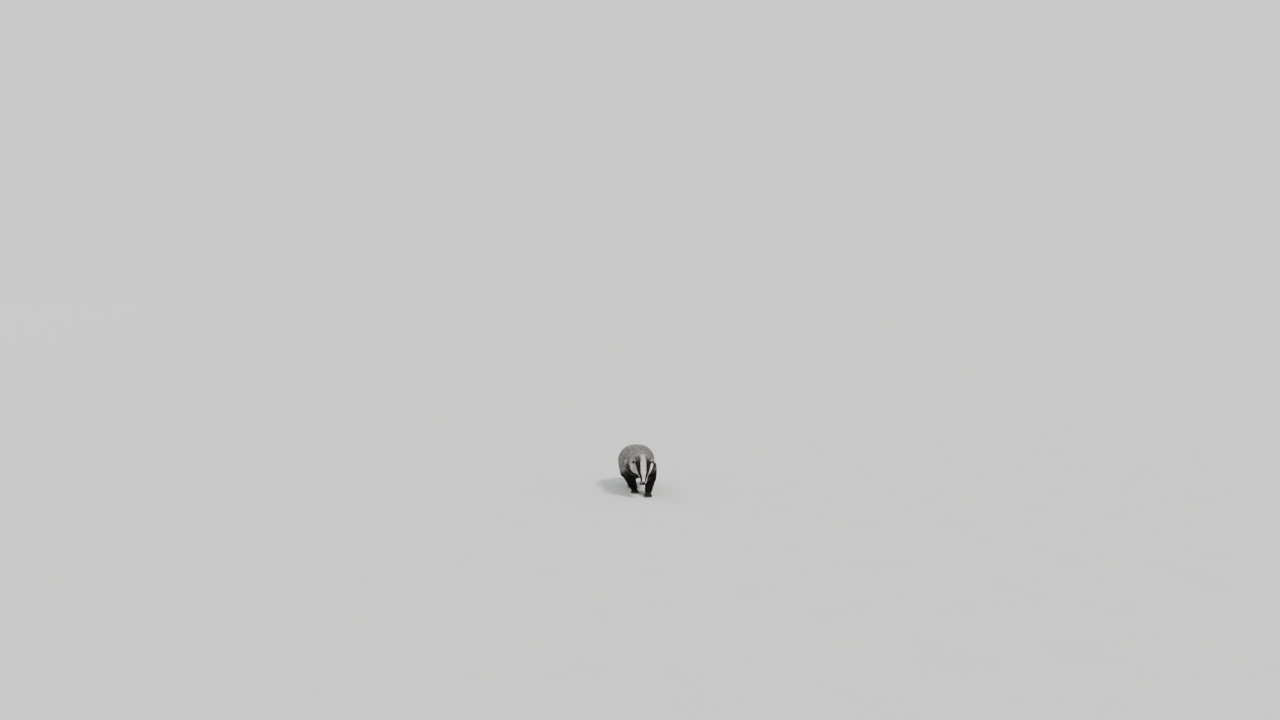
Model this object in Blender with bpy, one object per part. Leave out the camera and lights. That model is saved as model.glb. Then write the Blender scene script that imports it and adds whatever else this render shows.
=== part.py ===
"""European badger, life size, walking with its head held low: a still museum model.

Metres, +Z up. The nose points to -Y, the tail to +Y, and the animal's own left is +X. Every outline is taken
out to the tips of the coat. The body is modelled whole, parted with thin cuts, and each part is one solid.
"""

import math

import bmesh
import bpy
import numpy as np
from mathutils import Matrix, Vector

# Driving sizes of the animal
BACK_HEIGHT = 0.312
TRUNK_WIDTH = 0.268
TRUNK_FRONT = -0.185
TRUNK_LENGTH = 0.553
HEAD_LENGTH = 0.172
HEAD_WIDTH = 0.140
NOSE_TIP = Vector((0.004, -0.300, 0.106))
HEAD_PITCH = math.radians(56.0)
HEAD_YAW = math.radians(-3.0)
NECK_WIDTH = 0.160
TAIL_LENGTH = 0.165
TAIL_WIDTH = 0.070

# Eyes, ears and nose, in the head's own directions: back from the nose tip, sideways and up
EYE_PLACE = (0.067, 0.0236, 0.0170)
EYE_RADIUS = 0.0056
EYE_FACING = Vector((0.76, -0.34, 0.55))
EYE_OPENING = 0.012
EAR_PLACE = (0.148, 0.0612, 0.0265)
EAR_WIDTH = 0.039
EAR_HEIGHT = 0.049
EAR_THICKNESS = 0.014
EAR_UP = Vector((0.60, 0.70, 0.40))
EAR_FACING = Vector((0.62, -0.60, 0.50))
EAR_CUP = (0.36, 0.34, 0.62)
EAR_CUP_SHIFT = (0.10, 0.56)
NOSE_PLACE = (0.004, 0.0, 0.0035)
NOSE_RADII = (0.0125, 0.0095, 0.0095)

# Cuts of the head, back from the nose tip, and the mouth's line below the head's axis
MUZZLE_CUT = 0.050
MOUTH_CORNER = 0.074
MOUTH_DROP = 0.0115
HEAD_CUT = 0.152
HEAD_CUT_SIZE = (0.11, 0.09)

# Cuts across the trunk: the neck's leans forward, the others stand upright
NECK_CUT = (0.0, -0.150, 0.20)
NECK_CUT_DIRECTION = (0.0, -0.93, 0.12)
CHEST_CUT = -0.025
RUMP_CUT = 0.185

# Feet: pads and toes
FORE_PAW_WIDTH = 0.060
FORE_PAW_LENGTH = 0.052
FORE_CLAW_LENGTH = 0.024
HIND_PAW_WIDTH = 0.050
HIND_PAW_LENGTH = 0.084
HIND_CLAW_LENGTH = 0.015
PAW_HEIGHT = 0.030
TOES = 5
TOE_RADIUS = 0.0072
TOE_REACH = 0.017
CLAW_RADIUS = 0.0027
CLAW_TIP_RADIUS = 0.0006
CLAW_CLEARANCE = 0.0025
TOE_SETBACK = 0.009
CLAW_SWEEP = 1.35

# Cuts of the limbs and the tail
PAW_CUT = 0.037
FOOT_BLOCK = (0.037, 0.078)
FOOT_BLOCK_TOP = 0.040
LIMB_SPARE = 0.009
HAUNCH_OUTWARD = 0.030
FORE_HAUNCH = (0.056, 0.062, 0.066)
HIND_HAUNCH = (0.064, 0.076, 0.078)
TAIL_SPARE = 0.004
TAIL_CUT_SHARES = (0.36, 0.55, 0.78, 1.00, 1.20)

# How the meshes are made
GAP = 0.0004
LARGEST_MITRE = 2.0
MERGE = 0.00005
THINNEST = 0.0005
SHARP_ANGLE = math.radians(40)
ZONE_POINTS = 14
SLEEVE_POINTS = 10
RING_POINTS = 24
STEPS_BETWEEN = 4
SQUARENESS = 2.25
COARSE_VOXEL = 0.006
FINE_VOXEL = 0.0034
COARSE_SMOOTHING = 14
FINE_SMOOTHING = 4
SKIN_TRIANGLES = 1780
FAR = 0.6

# Colours and finish of each material: red, green, blue, roughness
FINISHES = {
    "grizzled_fur": (0.270, 0.265, 0.262, 0.85),
    "white_fur": (0.740, 0.725, 0.690, 0.85),
    "black_fur": (0.018, 0.016, 0.016, 0.80),
    "pale_fur": (0.480, 0.465, 0.430, 0.85),
    "eye_gloss": (0.010, 0.007, 0.006, 0.08),
    "nose_skin": (0.016, 0.014, 0.014, 0.42),
    "claw_horn": (0.300, 0.245, 0.180, 0.45),
}


# Directions of the head


def head_frame():
    """Axes of the head at the nose tip: X to its left, Y back along the skull, Z out of the forehead."""
    heading = Vector((math.sin(HEAD_YAW), -math.cos(HEAD_YAW), 0.0))
    left = Vector((math.cos(HEAD_YAW), math.sin(HEAD_YAW), 0.0))
    back = -heading * math.cos(HEAD_PITCH) + Vector((0.0, 0.0, math.sin(HEAD_PITCH)))
    up = left.cross(back)
    frame = Matrix((left, back, up)).transposed().to_4x4()
    return Matrix.Translation(NOSE_TIP) @ frame


HEAD = head_frame()


def in_head(back, aside, up):
    """World point of a place in the head."""
    return HEAD @ Vector((aside, back, up))


# Scene and mesh helpers


def clear_scene():
    for old in list(bpy.data.objects):
        bpy.data.objects.remove(old, do_unlink=True)


def make_material(name):
    red, green, blue, roughness = FINISHES[name]
    material = bpy.data.materials.new(name)
    material.use_nodes = True
    shader = material.node_tree.nodes["Principled BSDF"]
    shader.inputs["Base Color"].default_value = (red, green, blue, 1.0)
    shader.inputs["Roughness"].default_value = roughness
    shader.inputs["Metallic"].default_value = 0.0
    return material


def new_object(name, work):
    """An object from a bmesh, which is freed."""
    bmesh.ops.recalc_face_normals(work, faces=work.faces)
    mesh = bpy.data.meshes.new(name)
    work.to_mesh(mesh)
    work.free()
    made = bpy.data.objects.new(name, mesh)
    bpy.context.scene.collection.objects.link(made)
    return made


def remove(made):
    bpy.data.objects.remove(made, do_unlink=True)


def baked(made):
    """Applies the object's modifiers to its mesh."""
    bpy.context.view_layer.update()
    graph = bpy.context.evaluated_depsgraph_get()
    result = bpy.data.meshes.new_from_object(made.evaluated_get(graph))
    made.modifiers.clear()
    made.data = result
    return made


def joined(name, pieces):
    """One object from several closed shapes, which may still pass through each other."""
    work = bmesh.new()
    for piece in pieces:
        work.from_mesh(piece.data)
        remove(piece)
    return new_object(name, work)


def copy_of(made, name):
    twin = bpy.data.objects.new(name, made.data.copy())
    bpy.context.scene.collection.objects.link(twin)
    return twin


def boolean(made, cutter, operation):
    step = made.modifiers.new(operation.lower(), "BOOLEAN")
    step.operation = operation
    step.solver = "EXACT"
    step.object = cutter
    return baked(made)


def grown(made, name):
    """A copy of a closed shape whose faces are moved out by the gap that neighbours keep."""
    work = bmesh.new()
    work.from_mesh(made.data)
    bmesh.ops.remove_doubles(work, verts=work.verts, dist=MERGE)
    bmesh.ops.triangulate(work, faces=work.faces)
    work.normal_update()
    steps = [vertex.normal * GAP * min(vertex.calc_shell_factor(), LARGEST_MITRE) for vertex in work.verts]
    for vertex, step in zip(work.verts, steps):
        vertex.co += step
    return new_object(name, work)


def largest_part(made):
    """Keeps the largest connected part, so that no sliver is left beside a cut."""
    work = bmesh.new()
    work.from_mesh(made.data)
    unseen = set(work.verts)
    parts = []
    while unseen:
        front = [unseen.pop()]
        part = list(front)
        while front:
            for edge in front.pop().link_edges:
                for vertex in edge.verts:
                    if vertex in unseen:
                        unseen.remove(vertex)
                        front.append(vertex)
                        part.append(vertex)
        parts.append(part)
    parts.sort(key=len)
    for part in parts[:-1]:
        bmesh.ops.delete(work, geom=part, context="VERTS")
    work.to_mesh(made.data)
    work.free()
    return made


# Lofted and round shapes


def eased(stations, steps=STEPS_BETWEEN):
    """Rows of numbers between the stations, on a Catmull-Rom curve through them."""
    rows = np.array(stations, float)
    padded = np.vstack([2 * rows[0] - rows[1], rows, 2 * rows[-1] - rows[-2]])
    found = []
    for i in range(1, len(padded) - 2):
        before, start, end, after = padded[i - 1 : i + 3]
        for step in range(steps):
            t = step / steps
            found.append(
                0.5
                * (
                    2 * start
                    + (end - before) * t
                    + (2 * before - 5 * start + 4 * end - after) * t**2
                    + (3 * start - before - 3 * end + after) * t**3
                )
            )
    found.append(rows[-1])
    return np.array(found)


def loft(name, stations, side=Vector((1.0, 0.0, 0.0)), points=RING_POINTS, steps=STEPS_BETWEEN):
    """A closed tube through stations of (x, y, z, half width, rise, drop), its rings square to its path."""
    rows = eased(stations, steps)
    centres = rows[:, :3]
    tangents = np.gradient(centres, axis=0)
    work = bmesh.new()
    rings = []
    for row, tangent in zip(rows, tangents):
        along = Vector(tangent).normalized()
        across = (side - along * side.dot(along)).normalized()
        up = across.cross(along)
        half_width, rise, drop = (max(size, THINNEST) for size in row[3:6])
        ring = []
        for i in range(points):
            angle = 2 * math.pi * i / points
            cosine, sine = math.cos(angle), math.sin(angle)
            out = math.copysign(abs(cosine) ** (2 / SQUARENESS), cosine) * half_width
            height = math.copysign(abs(sine) ** (2 / SQUARENESS), sine)
            height *= rise if sine > 0 else drop
            ring.append(work.verts.new(Vector(row[:3]) + across * out + up * height))
        rings.append(ring)
    for first, second in zip(rings, rings[1:]):
        for i in range(points):
            j = (i + 1) % points
            work.faces.new((first[i], first[j], second[j], second[i]))
    for ring in (rings[0], rings[-1]):
        work.faces.new(ring)
    bmesh.ops.triangulate(work, faces=work.faces)
    return new_object(name, work)


def ellipsoid(name, centre, radii, frame=Matrix.Identity(3), segments=24):
    work = bmesh.new()
    place = Matrix.Translation(centre) @ frame.to_4x4() @ Matrix.Diagonal((*radii, 1.0))
    bmesh.ops.create_uvsphere(work, u_segments=segments, v_segments=segments // 2, radius=1.0, matrix=place)
    return new_object(name, work)


def facing(direction, across):
    """Axes whose Z is the direction and whose X is the nearest to across that is square to it."""
    along = Vector(direction).normalized()
    side = Vector(across)
    side = (side - along * side.dot(along)).normalized()
    return Matrix((side, along.cross(side), along)).transposed()


def half_space(name, place, direction, across, half_sizes, reach):
    """A box that starts at a plane through place and runs in the direction."""
    frame = facing(direction, across)
    work = bmesh.new()
    middle = Vector(place) + frame.col[2] * reach / 2
    sizes = (2 * half_sizes[0], 2 * half_sizes[1], reach, 1.0)
    box = Matrix.Translation(middle) @ frame.to_4x4() @ Matrix.Diagonal(sizes)
    bmesh.ops.create_cube(work, size=1.0, matrix=box)
    return new_object(name, work)


def part_off(whole, name, zone, *more_zones):
    """Cuts what lies in the zones from the whole, as a new object, and leaves a thin gap between the two."""
    piece = copy_of(whole, name)
    for shape in (zone, *more_zones):
        wide = grown(shape, "wide_zone")
        boolean(whole, wide, "DIFFERENCE")
        remove(wide)
    for shape in more_zones:
        boolean(zone, shape, "UNION")
        remove(shape)
    boolean(piece, zone, "INTERSECT")
    remove(zone)
    largest_part(whole)
    return largest_part(piece)


def seat(made, *holders):
    """Cuts room for a set-in piece out of the pieces that hold it."""
    wide = grown(made, "wide_seat")
    for holder in holders:
        boolean(holder, wide, "DIFFERENCE")
        largest_part(holder)
    remove(wide)


# The large masses of the body

# Share of the trunk's length, top and bottom as shares of the back's height, and share of the full width
TRUNK = (
    (0.00, 0.880, 0.500, 0.52),
    (0.06, 0.915, 0.430, 0.65),
    (0.15, 0.945, 0.360, 0.760),
    (0.28, 0.962, 0.312, 0.830),
    (0.42, 0.982, 0.282, 0.905),
    (0.56, 1.000, 0.266, 0.970),
    (0.69, 0.995, 0.276, 1.000),
    (0.80, 0.955, 0.310, 0.955),
    (0.89, 0.885, 0.365, 0.820),
    (0.96, 0.800, 0.440, 0.600),
    (1.00, 0.720, 0.520, 0.330),
)
WIDEST_AT = 0.44

# Back from the nose, half width, rise and drop, as shares of the head's length and width
HEAD_SHAPE = (
    (0.020, 0.100, 0.055, 0.070),
    (0.050, 0.130, 0.086, 0.118),
    (0.120, 0.152, 0.112, 0.158),
    (0.230, 0.180, 0.140, 0.190),
    (0.330, 0.210, 0.176, 0.214),
    (0.430, 0.272, 0.222, 0.256),
    (0.540, 0.356, 0.268, 0.312),
    (0.660, 0.446, 0.302, 0.380),
    (0.770, 0.500, 0.312, 0.422),
    (0.870, 0.500, 0.290, 0.424),
    (0.960, 0.430, 0.225, 0.360),
    (1.020, 0.300, 0.130, 0.240),
)

# Middle of the neck, then half width, rise and drop as shares of the neck's width
NECK = (
    (0.000, -0.050, 0.208, 0.600, 0.560, 0.580),
    (0.000, -0.110, 0.212, 0.590, 0.510, 0.540),
    (0.000, -0.165, 0.214, 0.530, 0.460, 0.480),
    (-0.001, -0.208, 0.212, 0.470, 0.405, 0.400),
    (-0.003, -0.243, 0.205, 0.370, 0.300, 0.300),
)

# Direction of the tail from its root, in steps of its length, and its thickness as shares of its width
TAIL_ROOT = Vector((0.0, 0.330, 0.226))
TAIL_SHAPE = (
    (0.00, 20.0, 0.400, 0.360),
    (0.20, 32.0, 0.420, 0.370),
    (0.42, 46.0, 0.475, 0.385),
    (0.62, 58.0, 0.500, 0.375),
    (0.80, 66.0, 0.430, 0.320),
    (0.93, 70.0, 0.275, 0.215),
    (1.00, 72.0, 0.110, 0.100),
)

# Each leg: which side, joints of the limb with its half width, back and front depth, then the foot
LEGS = {
    "fore_left": {
        "joints": (
            (0.064, -0.110, 0.215, 0.048, 0.060, 0.058),
            (0.074, -0.108, 0.168, 0.045, 0.054, 0.052),
            (0.073, -0.118, 0.122, 0.040, 0.043, 0.041),
            (0.062, -0.150, 0.082, 0.034, 0.034, 0.033),
            (0.051, -0.184, 0.048, 0.029, 0.027, 0.026),
            (0.045, -0.203, 0.020, 0.024, 0.021, 0.021),
        ),
        "paw": (0.043, -0.215),
        "toe_in": -7.0,
        "fore": True,
        "lift": 0.0,
    },
    "fore_right": {
        "joints": (
            (-0.064, -0.098, 0.215, 0.048, 0.060, 0.058),
            (-0.074, -0.088, 0.168, 0.046, 0.054, 0.052),
            (-0.071, -0.074, 0.122, 0.040, 0.043, 0.041),
            (-0.058, -0.064, 0.082, 0.034, 0.034, 0.033),
            (-0.045, -0.055, 0.048, 0.029, 0.027, 0.026),
            (-0.040, -0.059, 0.020, 0.025, 0.021, 0.021),
        ),
        "paw": (-0.038, -0.071),
        "toe_in": 5.0,
        "fore": True,
        "lift": 0.0,
    },
    "hind_left": {
        "joints": (
            (0.066, 0.245, 0.205, 0.060, 0.070, 0.075),
            (0.082, 0.240, 0.155, 0.051, 0.062, 0.068),
            (0.082, 0.242, 0.110, 0.039, 0.048, 0.050),
            (0.072, 0.268, 0.075, 0.030, 0.034, 0.034),
            (0.061, 0.289, 0.045, 0.025, 0.026, 0.025),
            (0.056, 0.289, 0.020, 0.022, 0.019, 0.019),
        ),
        "paw": (0.052, 0.262),
        "toe_in": -4.0,
        "fore": False,
        "lift": 0.013,
    },
    "hind_right": {
        "joints": (
            (-0.066, 0.225, 0.205, 0.060, 0.070, 0.075),
            (-0.082, 0.205, 0.155, 0.051, 0.062, 0.068),
            (-0.082, 0.182, 0.110, 0.040, 0.048, 0.049),
            (-0.070, 0.182, 0.075, 0.030, 0.034, 0.034),
            (-0.057, 0.188, 0.045, 0.025, 0.026, 0.025),
            (-0.051, 0.186, 0.020, 0.022, 0.019, 0.019),
        ),
        "paw": (-0.047, 0.155),
        "toe_in": 8.0,
        "fore": False,
        "lift": 0.0,
    },
}


def trunk():
    stations = []
    for share, top, bottom, width in TRUNK:
        height = (top - bottom) * BACK_HEIGHT
        middle = (bottom + (top - bottom) * WIDEST_AT) * BACK_HEIGHT
        y = TRUNK_FRONT + share * TRUNK_LENGTH
        half_width = width * TRUNK_WIDTH / 2
        stations.append((0.0, y, middle, half_width, height * (1 - WIDEST_AT), height * WIDEST_AT))
    return loft("trunk_mass", stations)


def head():
    stations = []
    for back, width, rise, drop in HEAD_SHAPE:
        centre = in_head(back * HEAD_LENGTH, 0.0, 0.0)
        stations.append((*centre, *(share * HEAD_WIDTH for share in (width, rise, drop))))
    return loft("head_mass", stations, side=HEAD.to_3x3().col[0])


def neck():
    stations = [(*row[:3], *(share * NECK_WIDTH for share in row[3:])) for row in NECK]
    return loft("neck_mass", stations)


def tail_path(share_now):
    """Point of the tail's middle line at a share of its length, worked out by stepping along it."""
    place = Vector(TAIL_ROOT)
    before = 0.0
    angle = TAIL_SHAPE[0][1]
    for share, next_angle, _, _ in TAIL_SHAPE[1:]:
        step = min(share, share_now) - before
        slope = math.radians((angle + next_angle) / 2)
        place += Vector((0.0, math.cos(slope), -math.sin(slope))) * step * TAIL_LENGTH
        before, angle = share, next_angle
        if share >= share_now:
            return place
    slope = math.radians(angle)
    return place + Vector((0.0, math.cos(slope), -math.sin(slope))) * (share_now - before) * TAIL_LENGTH


def tail():
    stations = []
    for share, _, width, depth in TAIL_SHAPE:
        centre = tail_path(share)
        stations.append((*centre, width * TAIL_WIDTH, depth * TAIL_WIDTH, depth * TAIL_WIDTH))
    return loft("tail_mass", stations)


# Feet

# Share of the foot's length ahead of its middle, then width, height and depth as shares of the foot's own
FOOT_PAD = (
    (-0.50, 0.52, 0.80, 0.35),
    (-0.30, 0.68, 1.00, 0.55),
    (0.00, 0.86, 0.95, 0.62),
    (0.25, 0.95, 0.78, 0.60),
    (0.42, 0.88, 0.55, 0.50),
)
TOE_SEGMENTS = 12
CLAW_SHARES = (0.0, 0.4, 0.75, 1.0)
CLAW_POINTS = 6


class Foot:
    """The pads and toes of one foot, turned to its heading about its middle."""

    def __init__(self, name, leg):
        self.name = name
        self.fore = leg["fore"]
        self.lift = leg["lift"]
        self.middle = Vector((*leg["paw"], 0.0))
        self.turn = Matrix.Rotation(math.radians(leg["toe_in"]), 3, "Z")
        self.width = FORE_PAW_WIDTH if self.fore else HIND_PAW_WIDTH
        self.length = FORE_PAW_LENGTH if self.fore else HIND_PAW_LENGTH
        self.claw = FORE_CLAW_LENGTH if self.fore else HIND_CLAW_LENGTH

    def place(self, aside, ahead, height):
        """World point that far to the left of the foot's middle, ahead of it and above the floor."""
        return self.middle + self.turn @ Vector((aside, -ahead, height))

    def toe_root(self, i):
        """Aside and ahead of each toe's knuckle: a shallow arc, its ends set back."""
        share = 2 * i / (TOES - 1) - 1
        aside = share * (self.width / 2 - TOE_RADIUS * 0.95)
        ahead = self.length / 2 - TOE_REACH * 0.55 - TOE_SETBACK * share**2
        return aside, ahead

    def pad(self):
        """The sole, low in front and rising to the wrist or heel behind."""
        stations = []
        for share, wide, high, low in FOOT_PAD:
            heel = max(0.0, -share * 2) ** 1.5 * self.lift
            centre = self.place(0.0, share * self.length, PAW_HEIGHT * 0.42 + heel)
            half = self.width / 2 * wide
            stations.append((*centre, half, PAW_HEIGHT * 0.58 * high, PAW_HEIGHT * 0.78 * low))
        side = self.turn @ Vector((1.0, 0.0, 0.0))
        return loft(self.name + "_pad", stations, side=side)

    def toes(self):
        made = []
        for i in range(TOES):
            aside, ahead = self.toe_root(i)
            centre = self.place(aside, ahead + TOE_REACH * 0.35, TOE_RADIUS * 0.86)
            radii = (TOE_RADIUS, TOE_REACH, TOE_RADIUS * 1.12)
            made.append(ellipsoid(f"{self.name}_toe_{i}", centre, radii, self.turn, TOE_SEGMENTS))
        return made

    def claws(self):
        """Curved claws, one to a toe, whose tips stay just clear of the floor."""
        made = []
        for i in range(TOES):
            aside, ahead = self.toe_root(i)
            start = ahead + TOE_REACH * 0.75
            stations = []
            for share in CLAW_SHARES:
                bend = share * CLAW_SWEEP
                reach = start + self.claw * math.sin(bend) / math.sin(CLAW_SWEEP)
                top = TOE_RADIUS * 1.25
                fall = (top - CLAW_CLEARANCE - CLAW_TIP_RADIUS) * (1 - math.cos(bend))
                fall /= 1 - math.cos(CLAW_SWEEP)
                radius = CLAW_RADIUS + (CLAW_TIP_RADIUS - CLAW_RADIUS) * share**1.3
                centre = self.place(aside, reach, top - fall)
                stations.append((*centre, radius * 0.85, radius * 1.15, radius * 1.15))
            side = self.turn @ Vector((1.0, 0.0, 0.0))
            name = f"claw_{self.name}_{i + 1}"
            made.append(loft(name, stations, side=side, points=CLAW_POINTS, steps=1))
        return made


def limb(name, leg):
    return loft(name + "_limb", leg["joints"])


# Small set-in pieces

EAR_SEGMENTS = 16
CUP_SEGMENTS = 10
EYE_SEGMENTS = 12


def mirrored_name(base, side):
    return f"{base}_{'left' if side > 0 else 'right'}"


def on_side(direction, side):
    """World direction of one given in the head for its left side, mirrored where side is -1."""
    return (HEAD.to_3x3() @ Vector((direction.x * side, direction.y, direction.z))).normalized()


def ear_axes(side):
    """Across, up and facing axes of an ear: it stands up and out from the head, its cup to the front."""
    up = on_side(EAR_UP, side)
    front = on_side(EAR_FACING, side)
    front = (front - up * front.dot(up)).normalized()
    return Matrix((up.cross(front), up, front)).transposed()


def ear(side):
    axes = ear_axes(side)
    back, aside, up = EAR_PLACE
    centre = in_head(back, aside * side, up)
    radii = (EAR_WIDTH / 2, EAR_HEIGHT / 2, EAR_THICKNESS / 2)
    shell = ellipsoid(mirrored_name("ear", side), centre, radii, axes, EAR_SEGMENTS)
    raised, forward = EAR_CUP_SHIFT
    cup_centre = centre + axes.col[1] * EAR_HEIGHT * raised + axes.col[2] * EAR_THICKNESS * forward
    wide, high, deep = EAR_CUP
    cup_radii = (EAR_WIDTH * wide, EAR_HEIGHT * high, EAR_THICKNESS * deep)
    cup = ellipsoid("ear_cup", cup_centre, cup_radii, axes, CUP_SEGMENTS)
    boolean(shell, cup, "DIFFERENCE")
    remove(cup)
    return shell


def eye(side):
    back, aside, up = EYE_PLACE
    radii = (EYE_RADIUS, EYE_RADIUS, EYE_RADIUS)
    centre = in_head(back, aside * side, up)
    return ellipsoid(mirrored_name("eye", side), centre, radii, segments=EYE_SEGMENTS)


def eye_opening(side):
    """The short cone that opens the coat in front of the eye."""
    back, aside, up = EYE_PLACE
    centre = in_head(back, aside * side, up)
    outward = on_side(EYE_FACING, side)
    frame = facing(outward, (0.0, 0.0, 1.0))
    work = bmesh.new()
    depth = 4 * EYE_RADIUS
    place = Matrix.Translation(centre + outward * depth / 2) @ frame.to_4x4()
    bmesh.ops.create_cone(
        work,
        cap_ends=True,
        segments=EYE_SEGMENTS,
        radius1=EYE_RADIUS * 0.8,
        radius2=EYE_OPENING,
        depth=depth,
        matrix=place,
    )
    return new_object("eye_opening", work)


def nose():
    return ellipsoid("nose", in_head(*NOSE_PLACE), NOSE_RADII, HEAD.to_3x3(), EYE_SEGMENTS)


# The whole hide, then its cuts


def blended(name, pieces, voxel, smoothing):
    """Several shapes as one skin, its creases rounded."""
    made = joined(name, pieces)
    remesh = made.modifiers.new("one_skin", "REMESH")
    remesh.mode = "VOXEL"
    remesh.voxel_size = voxel
    smooth = made.modifiers.new("round", "SMOOTH")
    smooth.factor = 0.5
    smooth.iterations = smoothing
    return baked(made)


def hide(feet):
    """The whole body: the large masses blended softly, then the head, feet and tail at a finer grain."""
    masses = [trunk(), neck(), *(limb(name, leg) for name, leg in LEGS.items())]
    fine = [blended("masses", masses, COARSE_VOXEL, COARSE_SMOOTHING), head(), tail()]
    for foot in feet:
        fine += [foot.pad(), *foot.toes()]
    whole = blended("hide", fine, FINE_VOXEL, FINE_SMOOTHING)
    fewer = whole.modifiers.new("fewer", "DECIMATE")
    fewer.use_collapse_triangulate = True
    whole.data.calc_loop_triangles()
    fewer.ratio = SKIN_TRIANGLES / len(whole.data.loop_triangles)
    baked(whole)
    ground = half_space("ground", (0, 0, 0), (0, 0, -1), (1, 0, 0), (FAR, FAR), FAR)
    boolean(whole, ground, "DIFFERENCE")
    remove(ground)
    return largest_part(whole)


def leg_zones(leg, foot):
    """All of one leg: a haunch or shoulder, a sleeve round the limb and a block round the foot."""
    side = math.copysign(1.0, foot.middle.x)
    hip = Vector(leg["joints"][1][:3])
    centre = hip + Vector((HAUNCH_OUTWARD * side, 0.0, 0.0))
    radii = FORE_HAUNCH if foot.fore else HIND_HAUNCH
    haunch = ellipsoid("haunch_zone", centre, radii, segments=ZONE_POINTS)
    sleeve = [(*row[:3], *(size + LIMB_SPARE for size in row[3:])) for row in leg["joints"][1:]]
    top = (*foot.middle.xy, FOOT_BLOCK_TOP)
    block = half_space("foot_zone", top, (0, 0, -1), (1, 0, 0), FOOT_BLOCK, FAR)
    return haunch, loft("sleeve_zone", sleeve, points=SLEEVE_POINTS, steps=1), block


def cut_leg(whole, name, leg, foot):
    """Foot, lower leg and upper leg of one limb."""
    across = (1.0, 0.0, 0.0)
    wrist, knee = (Vector(leg["joints"][i][:3]) for i in (4, 2))
    paw_name = "forepaw" if foot.fore else "hindpaw"
    lower_name = "forearm" if foot.fore else "shank"
    upper_name = "shoulder" if foot.fore else "thigh"
    place = name.split("_")[1]
    upper = part_off(whole, f"{upper_name}_{place}", *leg_zones(leg, foot))
    top = (wrist.x, wrist.y, PAW_CUT)
    paw_zone = half_space("paw_zone", top, (0, 0, -1), across, (FAR, FAR), FAR)
    paw = part_off(upper, f"{paw_name}_{place}", paw_zone)
    slope = (wrist - knee).normalized()
    lower_zone = half_space("lower_zone", knee, slope, across, (FAR, FAR), FAR)
    lower = part_off(upper, f"{lower_name}_{place}", lower_zone)
    return {paw: "black_fur", lower: "black_fur", upper: "grizzled_fur"}


def cut_tail(whole):
    half = TAIL_WIDTH / 2 + TAIL_SPARE
    sleeve = [(*tail_path(share), half, half, half) for share in TAIL_CUT_SHARES]
    zone = loft("tail_zone", sleeve, points=SLEEVE_POINTS, steps=1)
    return {part_off(whole, "tail", zone): "pale_fur"}


def cut_head(whole):
    """Lower jaw, muzzle and head, from the front back to the neck."""
    turn = HEAD.to_3x3()
    back, up = turn.col[1], turn.col[2]
    left = turn.col[0]
    zone = half_space("head_zone", in_head(HEAD_CUT, 0, 0), -back, left, HEAD_CUT_SIZE, FAR)
    face = part_off(whole, "head", zone)
    jaw_middle = in_head(MOUTH_CORNER - FAR / 2, 0, -MOUTH_DROP)
    zone = half_space("jaw_zone", jaw_middle, -up, left, (FAR / 2, FAR / 2), FAR)
    jaw = part_off(face, "lower_jaw", zone)
    zone = half_space("muzzle_zone", in_head(MUZZLE_CUT, 0, 0), -back, left, (FAR, FAR), FAR)
    muzzle = part_off(face, "muzzle", zone)
    return face, muzzle, jaw


def cut_trunk(whole):
    """Neck, chest and rump off the trunk, which keeps the belly and the loin."""
    across = (1.0, 0.0, 0.0)
    neck_zone = half_space("neck_zone", NECK_CUT, NECK_CUT_DIRECTION, across, (FAR, FAR), FAR)
    collar = part_off(whole, "neck", neck_zone)
    chest_zone = half_space("chest_zone", (0.0, CHEST_CUT, 0.0), (0, -1, 0), across, (FAR, FAR), FAR)
    chest = part_off(whole, "chest", chest_zone)
    rump_zone = half_space("rump_zone", (0.0, RUMP_CUT, 0.0), (0, 1, 0), across, (FAR, FAR), FAR)
    rump = part_off(whole, "rump", rump_zone)
    whole.name = "barrel"
    return {collar: "grizzled_fur", chest: "grizzled_fur", rump: "grizzled_fur", whole: "grizzled_fur"}


def centred(parts):
    """Moves everything so that the middle of its box is over the origin, and its soles stay on the floor."""
    points = np.array([vertex.co for part in parts for vertex in part.data.vertices])
    low, high = points.min(axis=0), points.max(axis=0)
    shift = Matrix.Translation((-(low[0] + high[0]) / 2, -(low[1] + high[1]) / 2, 0.0))
    for part in parts:
        part.data.transform(shift)


def build():
    clear_scene()
    materials = {name: make_material(name) for name in FINISHES}
    feet = {name: Foot(name, leg) for name, leg in LEGS.items()}
    whole = hide(feet.values())
    parts = {}
    paws = {}
    for name, leg in LEGS.items():
        cut = cut_leg(whole, name, leg, feet[name])
        paws[name] = next(iter(cut))
        parts.update(cut)
    parts.update(cut_tail(whole))
    face, muzzle, jaw = cut_head(whole)
    parts.update({face: "white_fur", muzzle: "white_fur", jaw: "white_fur"})
    trunk_parts = cut_trunk(whole)
    collar = next(iter(trunk_parts))
    parts.update(trunk_parts)
    pad = nose()
    seat(pad, muzzle, jaw)
    parts[pad] = "nose_skin"
    for side in (1, -1):
        shell, ball, opening = ear(side), eye(side), eye_opening(side)
        boolean(face, opening, "DIFFERENCE")
        remove(opening)
        seat(ball, face)
        seat(shell, face, collar)
        parts[shell] = "black_fur"
        parts[ball] = "eye_gloss"
    for name, foot in feet.items():
        for claw in foot.claws():
            seat(claw, paws[name])
            parts[claw] = "claw_horn"
    for part, finish in parts.items():
        part.data.materials.clear()
        part.data.materials.append(materials[finish])
        part.data.shade_smooth()
        part.data.set_sharp_from_angle(angle=SHARP_ANGLE)
    centred(parts)


build()
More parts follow.
